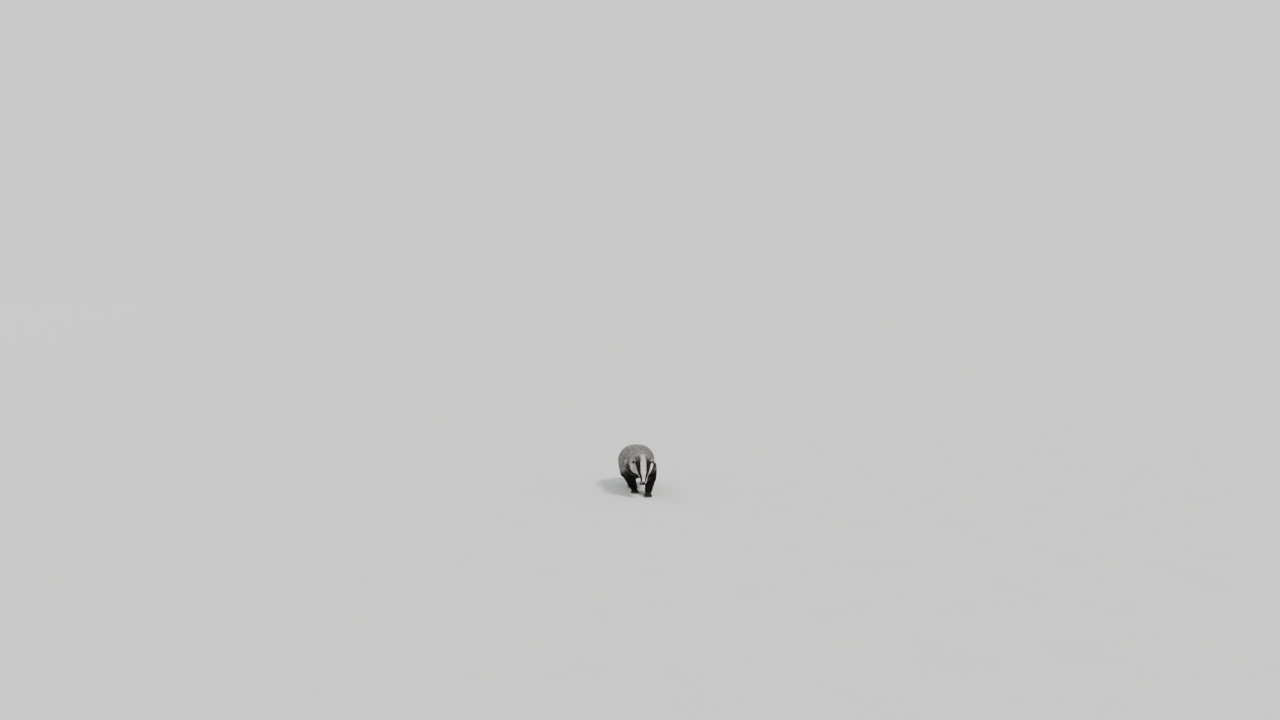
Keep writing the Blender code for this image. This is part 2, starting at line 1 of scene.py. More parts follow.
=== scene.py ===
# %% [markdown]
# A European badger at life size, walking with its head low.
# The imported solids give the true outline, out to the tips of the coat. This lesson dresses them.
# One smooth skin lies inside them by the depth of the fur, and many thousand small locks of hair
# grow from that skin back out to the outline. Eyes, nose, claws and pads are pieces of their own.

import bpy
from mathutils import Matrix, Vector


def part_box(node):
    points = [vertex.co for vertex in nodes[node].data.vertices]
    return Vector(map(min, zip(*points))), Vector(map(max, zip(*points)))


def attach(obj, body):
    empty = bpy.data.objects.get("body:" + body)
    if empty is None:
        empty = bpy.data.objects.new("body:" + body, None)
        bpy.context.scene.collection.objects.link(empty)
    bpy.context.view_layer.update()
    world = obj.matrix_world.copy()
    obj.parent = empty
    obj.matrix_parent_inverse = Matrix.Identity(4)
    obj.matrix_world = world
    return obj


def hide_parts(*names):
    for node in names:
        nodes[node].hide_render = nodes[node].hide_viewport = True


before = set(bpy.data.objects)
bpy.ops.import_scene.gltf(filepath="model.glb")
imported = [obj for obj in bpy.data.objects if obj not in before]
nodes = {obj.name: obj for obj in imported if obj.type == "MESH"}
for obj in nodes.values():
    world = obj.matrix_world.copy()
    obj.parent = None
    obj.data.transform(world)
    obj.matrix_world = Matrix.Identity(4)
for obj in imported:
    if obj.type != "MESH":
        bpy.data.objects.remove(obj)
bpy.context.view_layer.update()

# %% Tools for arrays and meshes
import math

import bmesh
import bpy
import numpy as np
from mathutils import Vector
from mathutils.bvhtree import BVHTree
from mathutils.kdtree import KDTree


def unit(vectors):
    """The same directions at length one."""
    return vectors / np.maximum(np.linalg.norm(vectors, axis=-1, keepdims=True), 1e-9)


def ease(low, high, value):
    """0 below low, 1 above high and a soft slope between. With low above high it falls instead."""
    share = np.clip((value - low) / (high - low), 0.0, 1.0)
    return share * share * (3.0 - 2.0 * share)


def dot(first, second):
    return np.sum(first * second, axis=-1)


def node_points(name):
    """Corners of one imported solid."""
    mesh = nodes[name].data
    points = np.empty(len(mesh.vertices) * 3)
    mesh.vertices.foreach_get("co", points)
    return points.reshape(-1, 3)


# %% [markdown]
# The camera comes first, because everything else is judged through it.
# The picture was taken from standing height, far in front of the animal, looking slightly down.
# Its focal length and its tilt follow from the row of the horizon. The camera is set out from the
# front toe, the point of the body that is easiest to find both in the picture and on the model.

# %% Camera
PICTURE_WIDTH = 1280
PICTURE_HEIGHT = 720
FOCAL_PIXELS = 1004.0
HORIZON_ROW = 295.0
TOE_COLUMN = 648.0
TOE_DISTANCE = 6.88
EYE_HEIGHT = 1.40
CAMERA_TURN = math.radians(-5.5)
SENSOR_WIDTH = 36.0
SOLE_TOP = 0.003


def front_toe():
    """The foremost point of the leading sole."""
    points = node_points("forepaw_left")
    low = points[points[:, 2] < SOLE_TOP]
    return Vector(low[np.argmin(low[:, 1])])


def set_camera():
    """A camera that stands in front of the toe and looks along its own level heading, tilted down."""
    pitch = math.atan((PICTURE_HEIGHT / 2 - HORIZON_ROW) / FOCAL_PIXELS)
    outward = Vector((math.sin(CAMERA_TURN), -math.cos(CAMERA_TURN), 0.0))
    right = Vector((math.cos(CAMERA_TURN), math.sin(CAMERA_TURN), 0.0))
    toe = front_toe()
    shift = (TOE_COLUMN - PICTURE_WIDTH / 2) / FOCAL_PIXELS * TOE_DISTANCE
    lens = bpy.data.cameras.new("front_camera")
    lens.sensor_width = SENSOR_WIDTH
    lens.lens = FOCAL_PIXELS / PICTURE_WIDTH * SENSOR_WIDTH
    camera = bpy.data.objects.new("front_camera", lens)
    camera.location = (toe.x, toe.y, EYE_HEIGHT)
    camera.location += outward * TOE_DISTANCE - right * shift
    forward = -outward * math.cos(pitch) - Vector((0.0, 0.0, math.sin(pitch)))
    camera.rotation_euler = forward.to_track_quat("-Z", "Y").to_euler()
    bpy.context.scene.collection.objects.link(camera)
    bpy.context.scene.camera = camera
    return camera


camera = set_camera()
print("camera at", [round(value, 2) for value in camera.location], "lens", round(camera.data.lens, 2))

# %% [markdown]
# Materials are small graphs of shader nodes. Writing them by hand takes many lines, so a few helpers
# add a node with everything that goes into it. Colours are linear values between 0 and 1.

# %% Helpers for materials


def feed(tree, node, inputs):
    """Joins sockets to a node's inputs, and sets the inputs that get a plain value."""
    for key, value in inputs.items():
        if isinstance(value, bpy.types.NodeSocket):
            tree.links.new(value, node.inputs[key])
        else:
            node.inputs[key].default_value = value


def add(tree, kind, inputs=None, **settings):
    """One shader node, with its settings and whatever feeds its sockets."""
    made = tree.nodes.new(kind)
    for name, value in settings.items():
        setattr(made, name, value)
    feed(tree, made, inputs or {})
    return made


def mixed(tree, share, first, second, kind="MIX"):
    """Two colours mixed by a share."""
    inputs = {0: share, 6: first, 7: second}
    return add(tree, "ShaderNodeMix", inputs, data_type="RGBA", blend_type=kind).outputs[2]


def sums(tree, operation, first, second):
    """One step of arithmetic."""
    return add(tree, "ShaderNodeMath", {0: first, 1: second}, operation=operation).outputs[0]


def noise(tree, scale, detail=3.0, roughness=0.55):
    """Cloudy noise fixed to the object."""
    place = add(tree, "ShaderNodeTexCoord").outputs["Object"]
    inputs = {"Vector": place, "Scale": scale, "Detail": detail, "Roughness": roughness}
    return add(tree, "ShaderNodeTexNoise", inputs).outputs["Fac"]


def cells(tree, scale):
    """Pebbles fixed to the object: 0 in their middle, larger toward their edges."""
    place = add(tree, "ShaderNodeTexCoord").outputs["Object"]
    return add(tree, "ShaderNodeTexVoronoi", {"Vector": place, "Scale": scale}).outputs["Distance"]


def ramp(tree, value, stops):
    """A run of colours along a value."""
    made = add(tree, "ShaderNodeValToRGB", {0: value})
    elements = made.color_ramp.elements
    while len(elements) < len(stops):
        elements.new(0.5)
    for element, (place, colour) in zip(elements, stops):
        element.position = place
        element.color = (*colour, 1.0)
    return made.outputs[0]


def bumped(tree, height, strength, distance):
    """A normal tilted by a height that isn't in the mesh."""
    inputs = {"Height": height, "Strength": strength, "Distance": distance}
    return add(tree, "ShaderNodeBump", inputs).outputs[0]


def new_material(name):
    """An empty material with its surface shader, ready to be wired."""
    material = bpy.data.materials.new(name)
    material.use_nodes = True
    tree = material.node_tree
    return material, tree, tree.nodes["Principled BSDF"]


def attribute(tree, name, output):
    """A value or a colour that the mesh carries at each point."""
    return add(tree, "ShaderNodeAttribute", attribute_name=name).outputs[output]


def clouded(tree, scale, dark, light, low=0.3, high=0.7):
    """A tone that wanders between two colours in clouds."""
    return ramp(tree, noise(tree, scale), ((low, dark), (high, light)))


def uneven(tree, scale, least, extra):
    """A value that wanders in clouds, from its least upward."""
    return sums(tree, "ADD", least, sums(tree, "MULTIPLY", noise(tree, scale), extra))


# %% [markdown]
# A museum model is shown on a plain pale floor in soft light. The main light comes from high on the
# right of the picture, as in the photograph, and a weak one from behind draws the edge of the coat.
# Both are suns with a broad disk: their shadows are soft, and they light the floor evenly to the
# horizon, where it then meets a sky of the same tone. Lamps nearby would leave a pool of light.

# %% Floor and light
FLOOR_HALF = 150.0
FLOOR_COLOUR = (0.520, 0.524, 0.528, 1.0)
FLOOR_DARKER = (0.489, 0.493, 0.496, 1.0)
SKY_COLOUR = (0.945, 0.943, 0.940, 1.0)
SKY_STRENGTH = 1.22


def floor_finish():
    material, tree, shader = new_material("pale_floor")
    feed(tree, shader, {
        "Base Color": mixed(tree, noise(tree, 3.0), FLOOR_COLOUR, FLOOR_DARKER),
        "Normal": bumped(tree, noise(tree, 260.0), 0.08, 0.001),
        "Roughness": 0.85,
        "Specular IOR Level": 0.15,
    })
    return material


def broad_sun(name, place, strength, disk, colour):
    """A sun that shines from the side of a place toward the model."""
    lamp = bpy.data.lights.new(name, "SUN")
    lamp.energy = strength
    lamp.angle = math.radians(disk)
    lamp.color = colour
    light = bpy.data.objects.new(name, lamp)
    light.location = place
    light.rotation_euler = (-Vector(place)).to_track_quat("-Z", "Y").to_euler()
    bpy.context.scene.collection.objects.link(light)


def set_stage():
    bpy.ops.mesh.primitive_plane_add(size=2 * FLOOR_HALF)
    floor = bpy.context.object
    floor.name = "floor"
    floor.data.materials.append(floor_finish())
    sky = bpy.data.worlds.new("pale_sky")
    sky.use_nodes = True
    background = sky.node_tree.nodes["Background"]
    background.inputs["Color"].default_value = SKY_COLOUR
    background.inputs["Strength"].default_value = SKY_STRENGTH
    bpy.context.scene.world = sky


set_stage()
broad_sun("main_sun", (1.7, -1.6, 2.6), 3.8, 11.0, (1.0, 0.97, 0.94))
broad_sun("edge_sun", (-1.4, 2.0, 1.6), 1.0, 25.0, (0.97, 0.98, 1.0))
print("floor, sky and two broad suns set")

# %% [markdown]
# Head directions. The skull hangs nose down and turns a little, so plain X, Y and Z are clumsy there.
# The face is worked in its own three directions instead: back from the nose tip along the skull,
# aside to the animal's left, and up out of the forehead. A point is turned into them with three
# dot products, and back again with three steps.

# %% Head directions
HEAD_PITCH = math.radians(56.0)
HEAD_YAW = math.radians(-3.0)
NOSE_CENTRE_BACK = 0.004
NOSE_CENTRE_UP = 0.0035


def head_axes():
    """Back, aside and up of the head as the rows of a matrix."""
    heading = np.array((math.sin(HEAD_YAW), -math.cos(HEAD_YAW), 0.0))
    left = np.array((math.cos(HEAD_YAW), math.sin(HEAD_YAW), 0.0))
    back = -heading * math.cos(HEAD_PITCH) + np.array((0.0, 0.0, math.sin(HEAD_PITCH)))
    return np.array((back, left, np.cross(left, back)))


HEAD_AXES = head_axes()
NOSE_CENTRE = node_points("nose").mean(axis=0)
NOSE_TIP = NOSE_CENTRE - HEAD_AXES[0] * NOSE_CENTRE_BACK - HEAD_AXES[2] * NOSE_CENTRE_UP


def to_head(points):
    """Back, aside and up of each point from the nose tip."""
    return (points - NOSE_TIP) @ HEAD_AXES.T


def from_head(places):
    return NOSE_TIP + np.asarray(places) @ HEAD_AXES


def head_direction(back, aside, up):
    return unit(np.array((back, aside, up)) @ HEAD_AXES)


print("nose tip at", np.round(NOSE_TIP, 4))

# %% [markdown]
# The skin. A real hide is one sheet from nose to tail, so the model gets one closed mesh with no seam.
# The solids of flesh are joined, each grown a hair's breadth so that the cuts between them close, and
# a voxel remesh turns the heap into one even surface. Head and feet need finer faces than the back,
# so only those are cut again. Sculpting by hand would work as well, but would not repeat.

# %% Skin from the solids
SKIN_VOXEL = 0.0040
SAME_CORNER = 0.00005
SEAM_GROWTH = 0.0006
HEAD_REACH = 0.185
HEAD_DROP = 0.060
FACE_REACH = 0.080
FACE_DROP = 0.032
EYE_REACH = 0.013
LID_REGION = 0.0085
EAR_REGION = 0.026
FOOT_TOP = 0.036
EYE_CENTRES = {side: node_points(f"eye_{side}").mean(axis=0) for side in ("left", "right")}
EYE_RADIUS = float(np.ptp(node_points("eye_left")[:, 0]) / 2)
EAR_MIDDLES = {side: node_points(f"ear_{side}").mean(axis=0) for side in ("left", "right")}
FLESH = [name for name in sorted(nodes) if not name.startswith(("eye", "nose", "claw"))]


def joined_flesh():
    """All solids of flesh in one mesh, each grown to close the cuts."""
    heap = bmesh.new()
    for name in FLESH + ["nose"]:
        one = bmesh.new()
        one.from_mesh(nodes[name].data)
        bmesh.ops.remove_doubles(one, verts=one.verts, dist=SAME_CORNER)
        one.normal_update()
        for corner in one.verts:
            corner.co += corner.normal * SEAM_GROWTH
        copy = bpy.data.meshes.new(name + "_grown")
        one.to_mesh(copy)
        one.free()
        heap.from_mesh(copy)
        bpy.data.meshes.remove(copy)
    return heap


def remeshed(heap, voxel):
    """The heap as one even surface."""
    mesh = bpy.data.meshes.new("skin_draft")
    heap.to_mesh(mesh)
    draft = bpy.data.objects.new("skin_draft", mesh)
    bpy.context.scene.collection.objects.link(draft)
    remesh = draft.modifiers.new("remesh", "REMESH")
    remesh.mode = "VOXEL"
    remesh.voxel_size = voxel
    bpy.context.view_layer.update()
    graph = bpy.context.evaluated_depsgraph_get()
    work = bmesh.new()
    work.from_mesh(draft.evaluated_get(graph).to_mesh())
    bpy.data.objects.remove(draft)
    return work


def keep_largest(work):
    """Drops the crumbs that the remesh leaves inside closed creases."""
    left = set(work.verts)
    parts = []
    while left:
        part = {left.pop()}
        edge_of_part = set(part)
        while edge_of_part:
            near = {edge.other_vert(vert) for vert in edge_of_part for edge in vert.link_edges}
            edge_of_part = near - part
            part |= edge_of_part
        left -= part
        parts.append(part)
    parts.sort(key=len)
    for part in parts[:-1]:
        bmesh.ops.delete(work, geom=list(part), context="VERTS")


def refined(work, wanted):
    """Cuts the faces where wanted holds into four."""
    places = np.array([vert.co for vert in work.verts])
    chosen = wanted(places)
    work.verts.index_update()
    edges = [edge for edge in work.edges if chosen[edge.verts[0].index] and chosen[edge.verts[1].index]]
    bmesh.ops.subdivide_edges(work, edges=edges, cuts=1, use_grid_fill=True)


def head_or_foot(places):
    back, _, up = to_head(places).T
    return ((back < HEAD_REACH) & (up > -HEAD_DROP)) | (places[:, 2] < FOOT_TOP)


def near_face(places):
    back, _, up = to_head(places).T
    return (back < FACE_REACH) & (up > -FACE_DROP)


def gap_to(places, centres):
    """Distance to the nearer of two places, such as the eyes."""
    return np.minimum(*(np.linalg.norm(places - centre, axis=1) for centre in centres.values()))


def eye_gap(places):
    return gap_to(places, EYE_CENTRES)


def near_eyes_or_ears(places):
    return (eye_gap(places) < EYE_REACH) | (gap_to(places, EAR_MIDDLES) < EAR_REGION)


def at_lids(places):
    return eye_gap(places) < LID_REGION


def skin_draft():
    heap = joined_flesh()
    work = remeshed(heap, SKIN_VOXEL)
    heap.free()
    keep_largest(work)
    for wanted in (head_or_foot, near_face, near_eyes_or_ears, at_lids):
        refined(work, wanted)
    bmesh.ops.triangulate(work, faces=work.faces)
    work.verts.index_update()
    points = np.array([vert.co for vert in work.verts])
    triangles = np.array([[vert.index for vert in face.verts] for face in work.faces])
    work.free()
    return points, triangles


outer_points, skin_faces = skin_draft()
print("skin draft:", len(outer_points), "points,", len(skin_faces), "triangles")

# %% [markdown]
# Each point of the skin has to know which part of the body it belongs to, because the coat is deep
# on the rump and thin on the muzzle. The nearest solid says so. Any value that differs from part to
# part is then spread over the neighbours, many times over, so that it changes as softly as real fur.

# %% Parts of the body on the skin


def edges_of(faces):
    pairs = np.concatenate([faces[:, [0, 1]], faces[:, [1, 2]], faces[:, [2, 0]]])
    pairs.sort(axis=1)
    return np.unique(pairs, axis=0)


STEP_IN = 0.50
STEP_OUT = 0.52
SKIN_EDGES = edges_of(skin_faces)
NEIGHBOURS_FROM = np.concatenate([SKIN_EDGES[:, 0], SKIN_EDGES[:, 1]])
NEIGHBOURS_TO = np.concatenate([SKIN_EDGES[:, 1], SKIN_EDGES[:, 0]])
NEIGHBOUR_COUNT = np.bincount(NEIGHBOURS_FROM, minlength=len(outer_points))[:, None]


def added_up(owners, values, count):
    """Rows of values added up for each owner."""
    return np.stack([np.bincount(owners, column, count) for column in values.T], axis=1)


def neighbour_mean(values):
    return added_up(NEIGHBOURS_FROM, values[NEIGHBOURS_TO], len(values)) / NEIGHBOUR_COUNT


def spread(values, passes, share=0.5):
    """Values drawn toward their neighbours' mean, pass after pass."""
    values = values.reshape(len(values), -1)
    for _ in range(passes):
        values = values + (neighbour_mean(values) - values) * share
    return values


def smoothed(points, passes, strength):
    """Smoothing that keeps the volume: each step in is followed by nearly the same step out."""
    for _ in range(passes):
        points = points + (neighbour_mean(points) - points) * STEP_IN * strength
        points = points - (neighbour_mean(points) - points) * STEP_OUT * strength
    return points


def out_of_faces(points, faces):
    """Square to each face, and twice as long as the face is large."""
    corners = points[faces]
    return np.cross(corners[:, 1] - corners[:, 0], corners[:, 2] - corners[:, 0])


def point_normals(points, faces):
    outward = np.repeat(out_of_faces(points, faces), 3, axis=0)
    return unit(added_up(faces.ravel(), outward, len(points)))


def nearest_parts(points):
    """Number in FLESH of the solid that is nearest to each point."""
    corners = []
    faces = []
    owner = []
    for number, name in enumerate(FLESH):
        mesh = nodes[name].data
        mesh.calc_loop_triangles()
        start = len(corners)
        corners.extend(vert.co.copy() for vert in mesh.vertices)
        faces.extend([start + index for index in tri.vertices] for tri in mesh.loop_triangles)
        owner.extend([number] * len(mesh.loop_triangles))
    tree = BVHTree.FromPolygons(corners, faces)
    return np.array([owner[tree.find_nearest(point)[2]] for point in points.tolist()])


skin_part = nearest_parts(outer_points)


def per_part(values, default=0.0):
    """One value for each point from a table of parts, whose sides share a name's beginning."""
    table = np.array([
        next((value for start, value in values.items() if name.startswith(start)), default)
        for name in FLESH
    ])
    return table[skin_part]


def softly(values, passes, default=0.0):
    """The same value for each point, softened across the borders of the parts."""
    return spread(per_part(values, default), passes)[:, 0]


def facing_down(normals):
    """1 where the body faces the floor, 0 on its sides and its back."""
    return ease(-0.2, -0.9, normals[:, 2])


HEAD_PARTS = {"head": 1.0, "muzzle": 1.0, "lower_jaw": 1.0}
firmness = spread(per_part({"forepaw": 0.25, "hindpaw": 0.25, "ear": 0.35}, 1.0), 6)
outer_points = smoothed(outer_points, 24, firmness)
print("points on each part:", dict(zip(FLESH, np.bincount(skin_part).tolist())))

# %% [markdown]
# How deep the coat is. Long guard hairs lift off the back and rump, and short hair hugs the face.
# The skin is moved inward by that depth in a few small steps, with a little smoothing after each,
# because one large step would fold it where two surfaces meet, such as behind the elbow.

# %% Sink the skin by the depth of the coat
COAT_DEPTH = {
    "barrel": 0.020, "rump": 0.021, "chest": 0.016, "neck": 0.013, "shoulder": 0.011, "thigh": 0.013,
    "forearm": 0.0055, "shank": 0.0055, "forepaw": 0.0019, "hindpaw": 0.0019, "head": 0.0060,
    "muzzle": 0.0020, "lower_jaw": 0.0024, "ear": 0.0024, "tail": 0.017,
}
FOREHEAD = (0.150, 0.070)
THINNER_FOREHEAD = 0.50
THIN_AT_EYES = (0.009, 0.022)
THINNER_BELLY = 0.45
SINK_STEPS = 8


def wanted_depth():
    """Coat depth at each point, thinner on the forehead and the belly than on the cheeks and back."""
    depth = softly(COAT_DEPTH, 40)
    on_head = softly(HEAD_PARTS, 20)
    forehead = ease(*FOREHEAD, to_head(outer_points)[:, 0]) * on_head
    depth = depth * (1.0 - THINNER_FOREHEAD * forehead)
    depth = depth * (0.30 + 0.70 * ease(*THIN_AT_EYES, eye_gap(outer_points)))
    down = facing_down(point_normals(outer_points, skin_faces))
    return depth * (1.0 - THINNER_BELLY * down * (1.0 - on_head))


def sunk(points, depth):
    for _ in range(SINK_STEPS):
        inward = -point_normals(points, skin_faces)
        points = points + inward * (depth / SINK_STEPS)[:, None]
        points = smoothed(points, 2, firmness)
    return points


skin_points = sunk(outer_points, wanted_depth())
print("skin lies inside by", round(float(np.linalg.norm(skin_points - outer_points, axis=1).mean()), 4))

# %% [markdown]
# Toes. The remesh rounds the feet into mittens, so the clefts between the toes are pressed in again.
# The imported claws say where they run: halfway between two claws, from the claws back over the
# knuckles. Each cleft is a push inward that fades out to both sides and toward the wrist.

# %% Toes
CLEFT_DEPTH = 0.0034
CLEFT_WIDTH = 0.0023
CLEFT_START = (-0.014, -0.006)
CLEFT_LENGTH = 0.030
CLAW_END = 0.0012
FEET = [(kind, side) for kind in ("fore", "hind") for side in ("left", "right")]


def middle(name):
    low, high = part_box(name)
    return (np.array(low) + np.array(high)) / 2


def claw_ends(name):
    """Middle of the root and of the tip of a packed claw."""
    points = node_points(name)
    foot = middle(name.replace("claw_fore", "forepaw").replace("claw_hind", "hindpaw").rsplit("_", 1)[0])
    gap = np.linalg.norm((points - foot)[:, :2], axis=1)
    root = points[gap < gap.min() + CLAW_END].mean(axis=0)
    tip = points[gap > gap.max() - CLAW_END * 2 / 3].mean(axis=0)
    return root, tip


def foot_claws(kind, side):
    """Roots of the five claws of one foot and the way they point over the floor."""
    ends = [claw_ends(f"claw_{kind}_{side}_{number}") for number in range(1, 6)]
    ahead = unit(sum((tip - root) * (1.0, 1.0, 0.0) for root, tip in ends))
    return [root for root, _ in ends], ahead


def with_clefts(points):
    normals = point_normals(points, skin_faces)
    depth = np.zeros(len(points))
    for foot in FEET:
        roots, ahead = foot_claws(*foot)
        across = np.cross(ahead, (0.0, 0.0, 1.0))
        for first, second in zip(roots, roots[1:]):
            out = points - (first + second) / 2
            behind = -(out @ ahead)
            along = ease(*CLEFT_START, behind) * ease(CLEFT_LENGTH, 0.4 * CLEFT_LENGTH, behind)
            near = np.abs(out[:, 2]) < CLEFT_LENGTH
            depth = np.maximum(depth, along * near * np.exp(-((out @ across) / CLEFT_WIDTH) ** 2))
    return points - normals * (depth * CLEFT_DEPTH)[:, None]


skin_points = with_clefts(skin_points)
print("clefts pressed in on", len(FEET), "feet")

# %% [markdown]
# The face. A mesh can be sculpted by code when every change is a small push with a soft edge.
# The brow stands over the eye, the cheek swells behind it and the lips meet in a thin groove.
# The skin round the eye is first relaxed into a taut patch, as the remesh leaves it creased there.
# Then the lids follow the eyeball: inside an almond the skin drops behind the ball, so that the
# ball shows, and round the almond it rides on the ball as a thin rim.

# %% Face
LID_LENGTH = 0.0049
LID_HEIGHT = 0.0036
LID_THICKNESS = 0.0008
LID_EDGE = (1.08, 0.94)
LID_FULL = 1.45
LID_REACH = 2.3
LID_FALL = 0.8
SOCKET_DROP = 0.0030
LID_TILT = 0.35
SOCKET_INNER = 0.0095
SOCKET_OUTER = 0.0125
SOCKET_PASSES = 260
EYE_LOOK = (-0.34, 0.76, 0.55)
MOUTH_LEVEL = -0.0115
MOUTH_RISE = 0.0030
MOUTH_CORNER = 0.072
MOUTH_OPENS = (0.002, 0.006)
MOUTH_CLOSES = (0.072, 0.060)
GROOVE_DEPTH = 0.0026
GROOVE_WIDTH = 0.0016
NOSE_SEAT = 0.85
NOSE_SEAT_EDGE = (0.0125, 0.0105)
FACE_FORMS = {
    "brow": ((0.074, 0.020, 0.026), 0.010, 0.0016),
    "tear groove": ((0.056, 0.016, 0.010), 0.009, -0.0008),
    "cheek": ((0.100, 0.045, 0.004), 0.022, 0.0020),
    "whisker pad": ((0.022, 0.012, -0.003), 0.009, 0.0010),
}
FOREHEAD_FURROW = ((0.085, 0.0, 0.030), 0.012, -0.0010)


def pushed(points, side, place, radius, height):
    """A soft swelling of that height round a place of the head, or a dent where it is negative."""
    back, aside, up = place
    gap = np.linalg.norm(points - from_head((back, aside * side, up)), axis=1) / radius
    return points + point_normals(points, skin_faces) * (height * np.exp(-gap * gap))[:, None]


def mouth_share(points):
    """1 on the line where the lips meet, 0 away from it."""
    back, _, up = to_head(points).T
    level = MOUTH_LEVEL + MOUTH_RISE * np.clip(back / MOUTH_CORNER, 0.0, 1.0) ** 2
    along = ease(*MOUTH_OPENS, back) * ease(*MOUTH_CLOSES, back)
    return np.exp(-((up - level) / GROOVE_WIDTH) ** 2) * along


def with_nose_seat(points):
    """The skin drawn back under the nose pad, so that it doesn't fill the nostrils."""
    share = NOSE_SEAT * ease(*NOSE_SEAT_EDGE, np.linalg.norm(points - NOSE_CENTRE, axis=1))
    ahead = np.minimum((points - NOSE_CENTRE) @ HEAD_AXES[0], 0.0)
    return points - HEAD_AXES[0] * (ahead * share)[:, None]


def eye_axes(side):
    """Long axis, short axis and look of one eye."""
    sign = 1.0 if side == "left" else -1.0
    look = head_direction(EYE_LOOK[0], EYE_LOOK[1] * sign, EYE_LOOK[2])
    long = head_direction(1.0, 0.0, LID_TILT)
    long = unit(long - look * dot(long, look))
    return long, np.cross(look, long) * sign, look


def eye_places(points, side):
    """Places along the three axes of one eye, and how many almonds away from its middle they are."""
    long, short, look = eye_axes(side)
    out = points - EYE_CENTRES[side]
    x, y, z = out @ long, out @ short, out @ look
    return x, y, z, np.sqrt((x / LID_LENGTH) ** 2 + (y / LID_HEIGHT) ** 2)


def taut_sockets(points):
    """The skin over both eyes drawn tight, so that it lies in one even sheet there."""
    share = ease(SOCKET_OUTER, SOCKET_INNER, eye_gap(points))[:, None]
    for _ in range(SOCKET_PASSES):
        points = points + (neighbour_mean(points) - points) * share
    return points


def with_lids(points, side):
    x, y, z, almonds = eye_places(points, side)
    near = (z > -0.001) & (almonds < LID_REACH)
    around = np.hypot(x, y)
    ball = np.sqrt(np.maximum(EYE_RADIUS**2 - around**2, (0.45 * EYE_RADIUS) ** 2))
    ball = ball - np.maximum(around - 0.89 * EYE_RADIUS, 0.0) * LID_FALL
    inside = ease(*LID_EDGE, almonds)
    height = ball + LID_THICKNESS - inside * SOCKET_DROP
    share = ease(LID_REACH, LID_FULL, almonds) * near
    return points + eye_axes(side)[2] * ((height - z) * share)[:, None]


def shaped_face(points):
    for side in (1.0, -1.0):
        for place, radius, height in FACE_FORMS.values():
            points = pushed(points, side, place, radius, height)
    points = pushed(points, 0.0, *FOREHEAD_FURROW)
    points = with_nose_seat(points)
    groove = mouth_share(points) * GROOVE_DEPTH
    points = points - point_normals(points, skin_faces) * groove[:, None]
    points = taut_sockets(points)
    for side in ("left", "right"):
        points = with_lids(points, side)
    return points


skin_points = shaped_face(skin_points)
print("mouth groove points:", int((mouth_share(skin_points) > 0.5).sum()))

# %% [markdown]
# The ears. A badger's ear is a small round cup of thin skin, and the remesh leaves it thick and flat.
# Each is an ellipsoid in the solids, so the skin's points can be laid on a formula there: the back of
# the ear on a shallow dome, the front on the same dome moved forward by the thickness of the skin.
# Toward the root both fade into the head, so that the ear still grows out of one closed skin.

# %% Ears
EAR_UP = (0.70, 0.60, 0.40)
EAR_FACING = (-0.60, 0.62, 0.50)
EAR_INSET = 0.0022
EAR_WALL = 0.0024
EAR_DEPTH = 0.0072
EAR_ROOT = (-0.010, 0.002)
EAR_ROUNDING = 3


def ear_axes(side):
    """Across, up to the tip and out of the cup of one ear."""
    sign = 1.0 if side == "left" else -1.0
    up = head_direction(EAR_UP[0], EAR_UP[1] * sign, EAR_UP[2])
    front = head_direction(EAR_FACING[0], EAR_FACING[1] * sign, EAR_FACING[2])
    front = unit(front - up * dot(up, front))
    return np.array((np.cross(up, front), up, front))


def ear_frame(side):
    """Axes of one ear, the middle of its solid and the half sizes of its skin."""
    axes = ear_axes(side)
    places = node_points(f"ear_{side}") @ axes.T
    low, high = places.min(axis=0), places.max(axis=0)
    return axes, (low + high) / 2 @ axes, (high - low)[:2] / 2 - EAR_INSET


EAR_FRAMES = {side: ear_frame(side) for side in ("left", "right")}


def ear_places(points, side):
    """Places along the axes of one ear, and how far out they are, from 0 in the middle to 1 on the rim."""
    axes, centre, radii = EAR_FRAMES[side]
    places = (points - centre) @ axes.T
    return places, np.hypot(*(places[:, :2] / radii).T)


def with_ear(points, side):
    """The skin of one ear laid on its dome."""
    places, rim = ear_places(points, side)
    share = softly({f"ear_{side}": 1.0}, 2) * ease(*EAR_ROOT, places[:, 1])
    front = ease(-0.2, 0.3, point_normals(points, skin_faces) @ EAR_FRAMES[side][0][2])
    inside = np.minimum(rim, 1.0)
    wanted = places.copy()
    wanted[:, :2] *= (inside / np.maximum(rim, 1e-6))[:, None]
    back_face = EAR_DEPTH * (inside**2 - 0.5)
    wall = EAR_WALL * np.sqrt(np.maximum(1.0 - (inside / 1.02) ** 6, 0.0))
    wanted[:, 2] = back_face + wall * (front - 0.5)
    return points + ((wanted - places) * share[:, None]) @ EAR_FRAMES[side][0]


def shaped_ears(points):
    for side in ("left", "right"):
        points = with_ear(points, side)
    share = spread(per_part({"ear": 0.5}), 2)
    for _ in range(EAR_ROUNDING):
        points = points + (neighbour_mean(points) - points) * share
    return points


skin_points = shaped_ears(skin_points)
skin_normals = point_normals(skin_points, skin_faces)
print("ear skin half sizes:", np.round(EAR_FRAMES["left"][2], 4))

# %% [markdown]
# Markings. Skin and fur must carry the same pattern, so the pattern is a rule, not a painting.
# It takes any places on the body and answers how black, white or buff the coat is there, and what
# is left over is grizzled grey. The face stripe is a distance to a line drawn over the skull.

